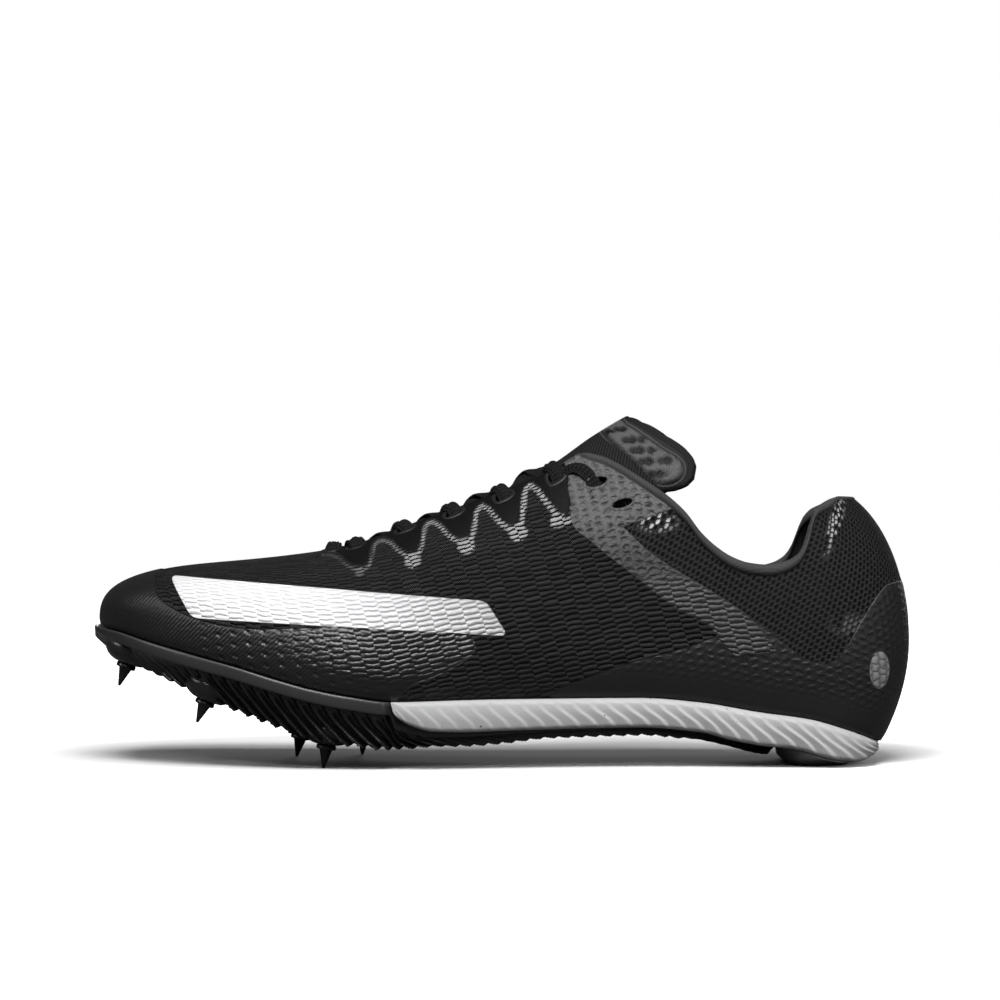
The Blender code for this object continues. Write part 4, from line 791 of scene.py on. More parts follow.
knitLook = {
    "brickLength": 5.7, "brickHeight": 1.86, "brickSlope": 0.20, "brickLean": 0.34, "brickRise": 0.9,
    "yarnRise": 0.34,
    "cellLength": 3.4, "cellHeight": 2.15, "cellDepth": 0.85,
    "hexLength": 3.7, "hexHeight": 2.7, "hexRise": 0.85,
    # gap: a painted shade colour for the lines between the knit's bricks
    "gap": (0.0010, 0.0010, 0.0010), "black": (0.0032, 0.0032, 0.0033), "yarnLight": (0.064, 0.064, 0.065),
    "filmBlack": (0.0050, 0.0050, 0.0051), "rearBlack": (0.009, 0.009, 0.0092),
    "tabBlack": (0.005, 0.005, 0.0052),
    "saddleTop": (0.095, 0.095, 0.096), "saddleLow": (0.027, 0.027, 0.027), "saddlePale": (0.15, 0.15, 0.152),
    "panelPale": (0.72, 0.72, 0.73), "panelShaded": (0.36, 0.36, 0.365), "dotGrey": (0.22, 0.22, 0.22),
    "stitchGrey": (0.62, 0.62, 0.63),
    "filmEdgeHighlight": (0.30, 0.30, 0.30),
}


def knitMaterial():
    # heights, colours and gloss of knit, mesh, films and overlays, mixed by the panels' masks
    look = knitLook
    made, tree, shader = newMaterial("upper_knit")
    place = fabricMm(tree)
    edges = {key: soften(tree, read(tree, key), -0.16, 0.16)
             for key in ("saddle", "mesh", "knit", "gloss", "panel", "tabs", "dot")}
    woven = placeGroup(tree, wobbleGroup, Position=place, Scale=0.35, Amount=1.5)["Position"]
    mottled = placeGroup(tree, wobbleGroup, Position=place, Scale=0.45, Amount=2.6)["Position"]
    bricks = placeGroup(tree, cellGroup, Position=woven, Width=look["brickLength"],
                        Height=look["brickHeight"], Slope=look["brickSlope"], Lean=look["brickLean"],
                        Uneven=0.08, End_Power=4.0, End_Depth=0.32, Side_Power=2.0)
    netted = placeGroup(tree, wobbleGroup, Position=place, Scale=0.6, Amount=0.7)["Position"]
    cells = placeGroup(tree, cellGroup, Position=netted, Width=look["cellLength"] / 2,
                       Height=look["cellHeight"], Slope=0.25, Lean=-0.3, End_Power=2.0, Side_Power=2.0)
    hexes = placeGroup(tree, cellGroup, Position=mottled, Width=look["hexLength"], Height=look["hexHeight"],
                       Slope=0.3, Lean=0.2, End_Power=2.2, Side_Power=2.2)
    pits = placeGroup(tree, cellGroup, Position=place, Width=look["brickLength"],
                      Height=look["brickHeight"] * 2, Lean=0.1, End_Power=2.0, Side_Power=2.0)
    yarn = placeGroup(tree, yarnGroup, Position=place, Pitch=0.75, Slant=0.8, Fuzz=1.2)
    grain = placeGroup(tree, grainGroup, Position=place, Fine=1.6, Coarse=0.05)
    split = put(tree, "ShaderNodeSeparateXYZ", {0: objectMm(tree)})
    film = calc(tree, "MAXIMUM", edges["gloss"], edges["panel"])
    rear = minus(tree, 1.0, calc(tree, "MAXIMUM", edges["knit"], edges["mesh"]), clamp=True)
    fused = calc(tree, "MAXIMUM", film, rear)
    smooth = calc(tree, "MAXIMUM", fused, calc(tree, "MAXIMUM", edges["tabs"], edges["saddle"]))
    # heights in mm: bricks fade under the toe's film, where only rows of pits show
    toeward = soften(tree, split.outputs[0], -198.0, -145.0)
    upFrom = read(tree, "up")
    highUp = times(tree, soften(tree, upFrom, 5.0, 10.0), plus(tree, times(tree, toeward, 0.95), 0.05))
    underFilm = blend(tree, edges["gloss"], soften(tree, upFrom, 1.0, 7.0), highUp)
    pitFade = times(tree, soften(tree, split.outputs[0], -218.0, -205.0),
                    minus(tree, 1.0, times(tree, toeward, 0.7)))
    pit = times(tree, calc(tree, "POWER", pits["Dome"], 7.0), times(tree, edges["gloss"], pitFade))
    yarnOnBrick = times(tree, times(tree, yarn["Height"], bricks["Dome"]),
                        blend(tree, film, look["yarnRise"], 0.02))
    pressed = minus(tree, 1.0, blend(tree, edges["panel"], times(tree, edges["gloss"], 0.68), 0.45))
    brickShape = times(tree, times(tree, bricks["Dome"], look["brickRise"]),
                       times(tree, underFilm, pressed))
    knitHeight = minus(tree, plus(tree, brickShape, yarnOnBrick), times(tree, pit, 0.42))
    ribs = placeGroup(tree, yarnGroup, Position=place, Pitch=1.4, Slant=-0.9, Fuzz=0.5)
    toeRibs = times(tree, ribs["Height"], times(tree, minus(tree, edges["gloss"], toeward, clamp=True), 0.09))
    knitHeight = plus(tree, knitHeight, toeRibs)
    hole = calc(tree, "POWER", cells["Dome"], 0.8)
    meshHeight = minus(tree, times(tree, yarn["Height"], look["yarnRise"]),
                       times(tree, hole, look["cellDepth"]))
    dimple = calc(tree, "POWER", hexes["Dome"], 2.0)
    hexHeight = minus(tree, times(tree, grain["Height"], 0.6),
                      times(tree, dimple, look["hexRise"]))
    lowFade = soften(tree, upFrom, 4.0, 16.0)
    waves = times(tree, bricks["Dome"], 0.45)
    saddleHeight = blend(tree, soften(tree, split.outputs[2], 58.0, 74.0), waves, hexHeight)
    rearHeight = times(tree, hexHeight, times(tree, lowFade, 0.30))
    height = blend(tree, edges["mesh"], knitHeight, meshHeight)
    height = blend(tree, rear, height, rearHeight)
    height = blend(tree, edges["saddle"], height, saddleHeight)
    height = blend(tree, edges["tabs"], height, times(tree, grain["Height"], 0.3))
    height = blend(tree, edges["dot"], height, times(tree, hexes["Dome"], 0.25))
    bump(tree, shader, height)
    # colours
    dots = soften(tree, yarn["Height"], 0.85, 1.5)
    lit = times(tree, dots, plus(tree, times(tree, bricks["Random"], 0.4), 0.6))
    body = tint(tree, lit, look["black"], look["yarnLight"])
    # painted shade: the gaps between the bricks are darkened to the gap colour, standing in for their shadow
    # lines
    colour = tint(tree, soften(tree, bricks["Dome"], 0.12, 0.60), look["gap"], body)
    ridge = times(tree, minus(tree, 1.0, hole), plus(tree, dots, 0.25))
    meshColour = tint(tree, ridge, (0.0012, 0.0012, 0.0012), (0.062, 0.062, 0.063))
    colour = tint(tree, edges["mesh"], colour, meshColour)
    # painted light: the open cells in those places are tinted pale, as if lit from behind
    throughLight = times(tree, read(tree, "through"), edges["mesh"])
    openCells = times(tree, soften(tree, cells["Dome"], 0.25, 0.7),
                      calc(tree, "GREATER_THAN", cells["Random"], 0.35))
    throughLight = times(tree, throughLight, openCells)
    colour = tint(tree, throughLight, colour, (0.70, 0.70, 0.71))
    colour = tint(tree, rear, colour, tint(tree, grain["Mottle"], look["rearBlack"], (0.014, 0.014, 0.0145)))
    colour = tint(tree, film, colour, tint(tree, grain["Mottle"], look["filmBlack"], (0.008, 0.008, 0.0082)))
    colour = tint(tree, edges["tabs"], colour, look["tabBlack"])
    threads = times(tree, soften(tree, bricks["Dome"], 0.45, 0.7), plus(tree, times(tree, dots, 0.5), 0.4))
    stitched = times(tree, soften(tree, read(tree, "stitch"), 0.1, 0.7), threads)
    colour = tint(tree, stitched, colour, look["stitchGrey"])
    fade = soften(tree, plus(tree, split.outputs[2], times(tree, split.outputs[0], -0.12)), 62.0, 98.0)
    saddle = tint(tree, fade, look["saddleLow"], look["saddleTop"])
    chance = plus(tree, times(tree, hexes["Random"], 1.6), -0.3, clamp=True)
    hollows = times(tree, soften(tree, dimple, 0.45, 1.0), chance)
    saddle = tint(tree, hollows, saddle, (0.008, 0.008, 0.008))
    saddle = tint(tree, soften(tree, grain["Height"], 0.5, 0.8), saddle, look["saddlePale"])
    saddle = tint(tree, fade, look["saddleLow"], saddle)
    colour = tint(tree, edges["saddle"], colour, saddle)
    # painted shade: the panel is pale at its front and painted darker towards its rear
    colour = tint(tree, edges["panel"], colour, tint(tree, soften(tree, split.outputs[0], -185.0, -105.0),
                                                     look["panelPale"], look["panelShaded"]))
    colour = tint(tree, edges["dot"], colour, tint(tree, hexes["Dome"], (0.10, 0.10, 0.10), look["dotGrey"]))
    # a painted highlight: a pale thin line along the heel film's edge where it meets the mesh
    thinLine = times(tree, calc(tree, "LESS_THAN", calc(tree, "ABSOLUTE", read(tree, "mesh")), 0.13),
                 soften(tree, split.outputs[0], 6.0, 12.0))
    colour = tint(tree, times(tree, thinLine, grain["Height"]), colour, look["filmEdgeHighlight"])
    tree.links.new(colour, shader.inputs["Base Color"])
    rough = blend(tree, smooth, 0.8, 0.46)
    rough = blend(tree, film, rough, 0.36)
    tree.links.new(rough, shader.inputs["Roughness"])
    shine = blend(tree, edges["tabs"], blend(tree, film, 0.28, 0.5), 0.06)
    tree.links.new(blend(tree, smooth, 0.08, shine), shader.inputs["Specular IOR Level"])
    return made


def plainKnit(name, colour, roughness, pitch, rise, coords="fabric"):
    # a fine rib knit: yarn stripes over a small staggered cell
    made, tree, shader = newMaterial(name, Specular_IOR_Level=0.12)
    place = fabricMm(tree) if coords == "fabric" else objectMm(tree)
    cells = placeGroup(tree, cellGroup, Position=place, Width=pitch * 1.4, Height=pitch, Slope=0.5,
                       End_Power=2.0, Side_Power=2.0)
    grain = placeGroup(tree, grainGroup, Position=place, Fine=3.0, Coarse=0.1)
    shade = times(tree, plus(tree, cells["Dome"], grain["Mottle"]), 0.6)
    colours = tint(tree, shade, tuple(c * 0.55 for c in colour), tuple(c * 1.35 for c in colour))
    tree.links.new(colours, shader.inputs["Base Color"])
    tree.links.new(blend(tree, grain["Height"], roughness - 0.08, roughness + 0.08),
                   shader.inputs["Roughness"])
    bump(tree, shader, plus(tree, times(tree, cells["Dome"], rise),
                            times(tree, grain["Height"], rise * 0.6)))
    return made


upper = buildUpper()
upper.data.materials.append(knitMaterial())
upper.data.materials.append(plainKnit("collar_piping", (0.045, 0.045, 0.046), 0.7, 0.6, 0.12))
upper.data.materials.append(plainKnit("lining_knit", (0.016, 0.016, 0.017), 0.8, 1.1, 0.18))
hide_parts("upper", "saddle_lateral", "saddle_medial", "heel_counter", "toe_cap")
rims = buildEyeletRims()
made, tree, shader = newMaterial("eyelet_film", Specular_IOR_Level=0.3)
grain = placeGroup(tree, grainGroup, Position=objectMm(tree), Fine=2.0, Coarse=0.1)
tree.links.new(tint(tree, grain["Mottle"], (0.006, 0.006, 0.006), (0.014, 0.014, 0.014)),
               shader.inputs["Base Color"])
tree.links.new(blend(tree, grain["Height"], 0.4, 0.55), shader.inputs["Roughness"])
bump(tree, shader, grain["Height"], 0.08)
rims.data.materials.append(made)
rims.data.materials.append(plainKnit("eyelet_grey", (0.075, 0.075, 0.076), 0.5, 1.6, 0.2, "object"))


print("stage: tongue")

tongueLook = {
    "thickness": 2.0, "pad": 1.4, "clearance": 0.8, "front": 0.705, "halfWidth": (15.0, 24.7), "medial": 0.86,
    "alongSteps": 130, "acrossSteps": 90, "quilt": 0.8,
    # the top edge: share of the half width, X
    "edge": ((0, 0.2, 0.43, 0.671, 0.785, 0.85, 0.896, 0.957, 0.987, 1.0),
             (-65.5, -64.2, -60.0, -52.4, -46.5, -43.6, -42.6, -43.5, -46.0, -50.0)),
    # side view outlines and hollows of the quilted patch: (x, z) and (x, z, half length, half height)
    "flap": ((-65.5, 122.5), (-52.4, 114.0), (-46.5, 110.0), (-43.6, 106.5), (-42.6, 103.5), (-43.5, 99.0),
             (-46.0, 96.5), (-49.5, 95.2), (-62.0, 94.0), (-120.0, 94.0), (-120.0, 135.0), (-66, 135.0)),
    "thick": ((-78, 140), (-78, 116.5), (-76.5, 114.6), (-63.4, 104.6), (-55, 95), (-50, 80), (-20, 80),
              (-20, 140)),
    "patch": ((-75.8, 115.7), (-75.0, 124.0), (-69.0, 124.0), (-67.2, 118.0), (-64.0, 116.0), (-58.5, 112.2),
              (-54.4, 108.8), (-49.5, 106.3), (-47.1, 103.2), (-47.5, 99.8), (-50.9, 97.0), (-56.8, 97.0),
              (-62.0, 102.5), (-68.9, 109.1)),
    "hollows": ((-72.7, 114.5, 1.8, 0.9), (-68.2, 115.3, 1.8, 0.9), (-65.2, 111.6, 2.4, 1.1),
                (-61.3, 111.9, 1.7, 1.0), (-62.7, 108.1, 2.5, 1.2), (-57.8, 108.1, 1.7, 0.9),
                (-59.7, 104.3, 2.6, 1.2), (-53.1, 104.7, 2.5, 1.2), (-56.4, 99.8, 3.4, 1.1)),
}


def lastTop(side, x, y, inset):
    # the point of the last above (x, y), drawn in by the inset
    s = section(side, x / (toeTip + inset), inset)
    return skin(s, riseAtDistance(s, np.abs(y - s["cy"]))[:, None])[:, 0]


def buildTongue():
    # two faces a thickness apart along the normals of the smaller last, joined by a rim
    look = tongueLook
    front = float(alongX(look["front"]))
    a, t = np.meshgrid(np.linspace(0, 1, look["alongSteps"]), np.linspace(-1, 1, look["acrossSteps"]),
                       indexing="ij")
    b = np.sign(t) * (1 - (1 - np.abs(t)) ** 1.7)
    end = np.interp(np.abs(b), *look["edge"])
    x = front + (end - front) * a
    lowHalf, highHalf = look["halfWidth"]
    half = lowHalf + (highHalf - lowHalf) * np.minimum(1.0, a * 1.12) ** 1.5
    half = half * np.where(b > 0, 1 - (1 - look["medial"]) * ease((a - 0.5) / 0.3), 1.0)
    y = b * half
    side = np.where(b < 0, -1.0, 1.0)
    inset = last["wall"] + look["clearance"]
    surface = lastTopGrid(side, x, y, inset)
    z = surface[..., 2]
    fromEdge = np.minimum(end - x, (1 - np.abs(b)) * half)
    raised = ease(polygonDistance(x, z, look["thick"]) / 0.7 + 0.5)
    patch = polygonDistance(x, z, cutCorners(look["patch"], 2, True))
    padMask = ease(patch / 0.9) * raised
    border = polygonDistance(x, z, look["flap"])
    lumps = np.ones_like(x)
    waveX, waveZ = 0.55 * np.sin(2.3 * z + 0.9 * x), 0.40 * np.sin(1.9 * x + 1.4 * z)
    for atX, atZ, long, tall in look["hollows"]:
        reach = ((x + waveX - atX) / long) ** 2 + ((z + waveZ - atZ - 0.06 * (x - atX)) / tall) ** 2
        lumps = np.minimum(lumps, 1 - np.exp(-reach ** 1.5))
    ring = (patch < -0.5) * np.exp(-((border - 2.7) / 0.35) ** 2)
    grooves = 0.45 * np.exp(-((patch + 0.3) / 0.35) ** 2) + 0.35 * ring
    offMiddle = ease((np.abs(y) - 1.0) / 9.0)
    swell = (padMask * (0.1 + look["quilt"] * lumps) + raised * (0.4 - grooves)) * offMiddle
    # both faces lie along the surface's normals and meet in a half round at the rim
    roundEdge = np.sqrt(np.clip(1 - (1 - np.clip(fromEdge / 0.9, 0, 1)) ** 2, 0, 1))
    padDepth = look["thickness"] + look["pad"] * ease((a - 0.74) / 0.06)
    lift = gridNormals(surface)
    lift *= np.sign(lift[..., 2:3] + 1e-9)
    upperFace = surface + lift * (swell * roundEdge - padDepth / 2 * (1 - roundEdge))[..., None]
    lowerFace = surface - lift * (padDepth / 2 * (1 + roundEdge))[..., None]
    count, columns = a.shape
    points = np.concatenate([upperFace.reshape(-1, 3), lowerFace.reshape(-1, 3)])
    faces = gridFaces(count, columns)
    total = count * columns
    ring = np.concatenate([np.arange(columns), np.arange(1, count) * columns + columns - 1,
                           (count - 1) * columns + np.arange(columns - 2, -1, -1),
                           np.arange(count - 2, 0, -1) * columns])
    nextRing = np.roll(ring, -1)
    rim = np.stack([ring, nextRing, nextRing + total, ring + total], -1)
    faces = np.concatenate([faces, faces[:, ::-1] + total, rim])
    uv = np.stack([x, y], -1).reshape(-1, 2)
    uv = np.concatenate([uv, uv])
    values = {"pad": np.concatenate([padMask.ravel(), np.zeros(total)]),
              "patch": np.concatenate([patch.ravel(), np.full(total, -9.0)]),
              "lump": np.concatenate([lumps.ravel(), np.zeros(total)]),
              "border": np.concatenate([border.ravel(), np.zeros(total)]),
              "raised": np.concatenate([raised.ravel(), raised.ravel()])}
    return makeMesh("tongue_pad", points, faces, uv, values, mergeAt=0.001)


def lastTopGrid(side, x, y, inset):
    # lastTop for a grid of points
    shape = x.shape
    return lastTop(side.ravel(), x.ravel(), y.ravel(),
                   inset.ravel() if np.ndim(inset) else inset).reshape(*shape, 3)


def tongueMaterial():
    # twill, with the quilted patch and its border marked by the mesh's values
    made, tree, shader = newMaterial("tongue_twill", Specular_IOR_Level=0.15)
    place = fabricMm(tree)
    twill = placeGroup(tree, yarnGroup, Position=place, Pitch=1.15, Slant=-0.35, Fuzz=0.3)
    grain = placeGroup(tree, grainGroup, Position=place, Fine=2.5, Coarse=0.12)
    fine = placeGroup(tree, cellGroup, Position=place, Width=0.9, Height=0.7, End_Power=2.0, Side_Power=2.0)
    pad, lump = read(tree, "pad"), read(tree, "lump")
    border = soften(tree, read(tree, "raised"), 0.4, 0.6)
    colour = tint(tree, twill["Height"], (0.0015, 0.0015, 0.0015), (0.015, 0.015, 0.015))
    rim = tint(tree, soften(tree, read(tree, "border"), 2.6, 3.2), (0.008, 0.008, 0.008),
               (0.015, 0.015, 0.0155))
    thinLine = calc(tree, "LESS_THAN", calc(tree, "ABSOLUTE", minus(tree, read(tree, "border"), 2.7)), 0.18)
    colour = tint(tree, border, colour, tint(tree, thinLine, rim, (0.006, 0.006, 0.006)))
    shade = times(tree, calc(tree, "POWER", lump, 3.0), plus(tree, grain["Height"], 0.3))
    colour = tint(tree, pad, colour, tint(tree, shade, (0.006, 0.006, 0.006), (0.090, 0.090, 0.091)))
    line = calc(tree, "LESS_THAN", calc(tree, "ABSOLUTE", plus(tree, read(tree, "patch"), 0.75)), 0.22)
    colour = tint(tree, times(tree, line, border), colour, (0.050, 0.050, 0.051))
    tree.links.new(colour, shader.inputs["Base Color"])
    tree.links.new(blend(tree, pad, 0.75, 0.55), shader.inputs["Roughness"])
    height = blend(tree, calc(tree, "MAXIMUM", pad, border), times(tree, twill["Height"], 0.3),
                   times(tree, plus(tree, fine["Dome"], grain["Height"]), 0.09))
    bump(tree, shader, height)
    return made


tongue = buildTongue()
tongue.data.materials.append(tongueMaterial())
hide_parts("tongue")


print("stage: laces")

laceLook = {"width": 5.6, "thickness": 1.25, "steps": 110, "profile": 22, "under": -2.15, "tongue": -1.7,
            "cross": 1.2, "edge": 1.55}


def laceStrand(start, end, over, overBoth=False, rope=0.0, early=0.0, bend=0.0):
    # a flat lace from hole to hole. Distances in mm along the way give its height above the last:
    # under the first eyestay, on the tongue, over the other eyestay's edge and down into its opening
    look = laceLook
    a, b = start[:2], end[:2]
    length = np.linalg.norm(b - a)
    go = (b - a) / length
    first = -2.8 if overBoth else 0.5
    d = np.linspace(first, length + 3.2 - early * 1.3, look["steps"])
    middle = look["tongue"] + over * look["cross"]
    farD = [length * 0.5, length - 8.6, length - 6.4, length - 4.7, length - 2.6, length - 0.2, length + 1.6,
            length + 2.6, length + 3.4]
    farD = farD[:5] + [v - early for v in farD[5:]]
    farH = [middle, look["tongue"] + 0.5, look["edge"] * 0.4, look["edge"], look["edge"], 1.1, 0.0, -2.0,
            -3.4]
    if overBoth:
        nearD, nearH = [length - v for v in farD[:0:-1]], farH[:0:-1]
    else:
        nearD, nearH = [0.0, 3.4, 6.4, 8.6], [look["under"], look["under"], look["tongue"] - 0.25,
                                              look["tongue"]]
    height = np.interp(d, nearD + farD, nearH + farH)
    kernel = np.hanning(9) / np.hanning(9).sum()
    height = np.convolve(np.pad(height, 4, mode="edge"), kernel, mode="valid")
    share = np.clip(d / length, 0, 1.1)
    bow = 4 * bend * share * (1 - share)
    flat = a[None] + go[None] * d[:, None] - bow[:, None] * np.array([[1.0, 0.0]])
    side = np.where(flat[:, 1] < spineY(flat[:, 0]), -1.0, 1.0)
    path = lastTop(side, flat[:, 0], flat[:, 1], -height)
    path = np.stack([np.convolve(np.pad(path[:, k], 3, mode="reflect", reflect_type="odd"), np.ones(7) / 7,
                                 mode="valid")
                     for k in range(3)], -1)
    along = unit(np.gradient(path, axis=0))
    fx, fy = flat.T
    ahead = lastTop(side, fx + 1.0, fy, -height) - lastTop(side, fx - 1.0, fy, -height)
    aside = lastTop(side, fx, fy + 0.5, -height) - lastTop(side, fx, fy - 0.5, -height)
    lean = ease((np.abs(flat[:, 1] - spineY(flat[:, 0])) - 3.0) / 4.0)[:, None]
    skinUp = unit(np.array([0.0, 0.0, 1.0]) * (1 - lean) + unit(np.cross(ahead, aside)) * lean)
    across = unit(np.cross(along, skinUp) + 1e-6)
    up = unit(np.cross(across, along))
    far = ease((d - length + 9.0) / 4.0)
    near = ease((9.0 - d) / 4.0) if overBoth else 0 * d
    bunch = np.maximum(far, near)
    width = look["width"] / 2 * (1 - 0.10 * bunch) * (1 - 0.42 * rope)
    thick = look["thickness"] / 2 * (1 + 0.75 * bunch) * (1 + 0.9 * rope)
    turn = np.linspace(0, 2 * math.pi, look["profile"], endpoint=False)
    ringX = np.sign(np.cos(turn)) * np.abs(np.cos(turn)) ** 0.7
    ringZ = np.sign(np.sin(turn)) * np.abs(np.sin(turn)) ** 0.6
    fold = 0.45 * np.cos(4.5 * ringX[None] + 0.35 * d[:, None]) * bunch[:, None] - 0.16 * ringX[None] ** 2
    points = (path[:, None] + across[:, None] * (ringX[None, :] * width[:, None])[..., None]
              + up[:, None] * ((ringZ[None] + fold) * thick[:, None])[..., None])
    run = np.concatenate([[0], np.cumsum(np.linalg.norm(np.diff(path, axis=0), axis=1))])
    around = ringX * 2.6 + ringZ * 0.3
    uv = np.stack([np.repeat(run[:, None], len(turn), 1), np.repeat(around[None], len(run), 0)], -1)
    return points, uv


def buildLaces():
    # a bar at the first row, then a pair of crossings from each row to the next
    at = {(row, side): point for row, side, point, _ in eyeletPlaces() if row < eyelets["laced"]}
    strands = [(at[0, -1], at[0, 1], 0.2, True, 0.0)]
    for row in range(eyelets["laced"] - 1):
        ends = (0.0, 2.2, 15.0) if row == eyelets["laced"] - 2 else (0.0, 0.0, 0.0)
        strands.append((at[row, -1], at[row + 1, 1], 0.0, False, *ends))
        strands.append((at[row, 1], at[row + 1, -1], 1.0, False, *ends))
    points, faces, uvs, caps = [], [], [], []
    count = 0
    for strand in strands:
        ring, uv = laceStrand(*strand)
        stations, rows = ring.shape[:2]
        faces.append(gridFaces(stations, rows, True) + count)
        for station in (0, stations - 1):                      # end caps as fans of quads
            k = np.arange(1, rows - 2, 2)
            base = count + station * rows
            caps.append(np.stack([np.full(len(k), base), base + k, base + k + 1, base + (k + 2) % rows], -1))
        points.append(ring.reshape(-1, 3))
        uvs.append(uv.reshape(-1, 2))
        count += stations * rows
    return makeMesh("flat_lace", np.concatenate(points), np.concatenate(faces + caps), np.concatenate(uvs))


def laceMaterial():
    # ribs along the lace, broken into short staggered stitches
    made, tree, shader = newMaterial("lace_weave", Specular_IOR_Level=0.12)
    place = fabricMm(tree)
    weave = placeGroup(tree, cellGroup, Position=place, Width=1.5, Height=0.86, Slope=0.12, End_Power=3.0,
                       Side_Power=2.0)
    grain = placeGroup(tree, grainGroup, Position=place, Fine=3.0, Coarse=0.15)
    shade = times(tree, weave["Dome"], plus(tree, grain["Height"], 0.3))
    tree.links.new(tint(tree, shade, (0.0012, 0.0012, 0.0012), (0.017, 0.017, 0.0175)),
                   shader.inputs["Base Color"])
    tree.links.new(blend(tree, grain["Mottle"], 0.65, 0.85), shader.inputs["Roughness"])
    bump(tree, shader, times(tree, weave["Dome"], 0.32))
    return made


laces = buildLaces()
laces.data.materials.append(laceMaterial())
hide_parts("laces")


print("stage: midsole")

midsoleLook = {
    "front": 0.6295, "stations": 400, "fan": 70, "ribPitch": 5.9, "ribDepth": 0.8,
    "ribLean": ((0, 30, 60, 110, 170), (17.0, 15.0, 11.0, 9.0, 8.0)), "sideRows": 30, "bulge": 0.8,
}
midsoleTable = {
    "along": (0.0325, 0.0421, 0.0702, 0.0772, 0.1123, 0.1509, 0.1895, 0.2246, 0.2596, 0.3333, 0.4842, 0.5333,
              0.5789, 0.6035, 0.6175, 0.6263, 0.6295),
    "thick": (0.060, 0.150, 0.395, 0.420, 0.490, 0.455, 0.468, 0.463, 0.418, 0.415, 0.440, 0.450, 0.425,
              0.345, 0.255, 0.150, 0.000),
}


def footbedZ(x, share):
    # top of the foam: seat + (bed - seat) (1 - s^2)^1.5, or the flat bed where it stands above the seat
    bed, seat = last["seatHeight"] * readTable(footbedTable, "bed", x), seatZ(x)
    dished = seat + (bed - seat) * (1 - np.clip(share / 0.82, 0, 1) ** 2) ** 1.5
    raised = np.where(np.asarray(share) <= 0.821, bed, seat)
    return np.where(bed > seat, raised, dished) - last["gap"]


def midsoleDepth(x, share):
    # thickness (0.72 + 0.28 s^2), and none ahead of the front end
    thick = last["seatHeight"] * readTable(midsoleTable, "thick", x)
    thick = np.where(np.asarray(x) < alongX(midsoleLook["front"]), 0.0, thick)
    return thick * (0.72 + 0.28 * np.clip(share, 0, 1) ** 2)


def soleEdge(side, lap, tip, pivot=0.0):
    # frame and half width of the sole's outline
    cx, cy, dx, dy = frames(side, lap, tip, pivot)
    wide = halfWidth(side, cx, 0.0, -last["lip"], toeLip)
    return cx, cy, dx, dy, oval(dx, dy, last["heelSeatReach"] + last["heelLip"], wide, last["heelPower"])


def ribWave(phase, sharp):
    # a rolled rib: rises over the first part of each pitch and drops over the rest, with rounded turns
    f = phase % 1.0
    return np.where(f < sharp, np.sin(f / sharp * quarterTurn) ** 1.4,
                    np.cos((f - sharp) / (1 - sharp) * quarterTurn) ** 1.2)


def buildMidsole():
    # rings from the middle of the top, down the ribbed side, to the middle underneath
    look = midsoleLook
    front = float(alongX(look["front"]))

    def outline(side, lap):
        # the edge seen from above, used to spread the stations
        cx, cy, dx, dy, full = soleEdge(side, lap, front)
        return np.stack([cx + dx * full, cy + dy * full], -1)

    laps, sides = loopStations(look["stations"], look["fan"], outline)
    cx, cy, dx, dy, full = soleEdge(sides, laps, front)
    edge = outline(sides, laps)
    run = np.concatenate([[0], np.cumsum(np.linalg.norm(np.diff(edge, axis=0), axis=1))])
    run = np.abs(run - run[len(run) // 2])                    # from the back of the heel
    end = ease((cx - front) / 5.0)
    rearEnd = ease((cx + dx * full - 17.0) / 7.0)
    ribFade = np.interp(run, (0, 120, 170), (1.0, 0.75, 0.35))
    steep = 0.22                                              # share of a rib's pitch on its steep side
    rows, ups = [], []
    depths = np.linspace(0, 1, look["sideRows"])
    rings = [(share, 0.0) for share in (0.0, 0.3, 0.6, 0.82, 0.885, 0.95)]
    rings += [(1.0, depth) for depth in depths] + [(share, 1.0) for share in (0.95, 0.885, 0.82, 0.5, 0.0)]
    for share, depth in rings:
        lean = np.interp(run, *look["ribLean"]) * (depth - 0.10 * math.sin(2 * math.pi * depth))
        f = ((run + lean) / look["ribPitch"]) % 1.0
        wave = np.where(f < steep, (f / steep) ** 0.7, ((1 - f) / (1 - steep)) ** 1.15)
        roundIn = 1 - math.sqrt(max(0.0, 1 - max(0.0, (abs(depth - 0.5) - 0.34) / 0.16) ** 2))
        ribs = look["ribDepth"] * wave * ease(depth / 0.18) * ease((1.0 - depth) / 0.10)
        bulge = look["bulge"] * math.sin(math.pi * depth) - 1.1 * roundIn
        out = full * share + (share > 0.99) * ((ribs * ribFade + bulge) * end * (1 - rearEnd) - 1.6 * rearEnd)
        at = cx + dx * full * share
        top, thick = footbedZ(at, share), midsoleDepth(at, share)
        under = seatZ(at) - last["gap"] - thick
        z = np.where(thick > 0.001, top + (under - top) * depth, top)
        rows.append(np.stack([cx + dx * out, cy + dy * out, z], -1))
        ups.append(np.stack([run, np.full_like(run, -depth * 11)], -1))
    rings = np.stack(rows, 1)
    faces = gridFaces(*rings.shape[:2])
    return makeMesh("foam_midsole", rings, faces, np.stack(ups, 1), mergeAt=0.01)


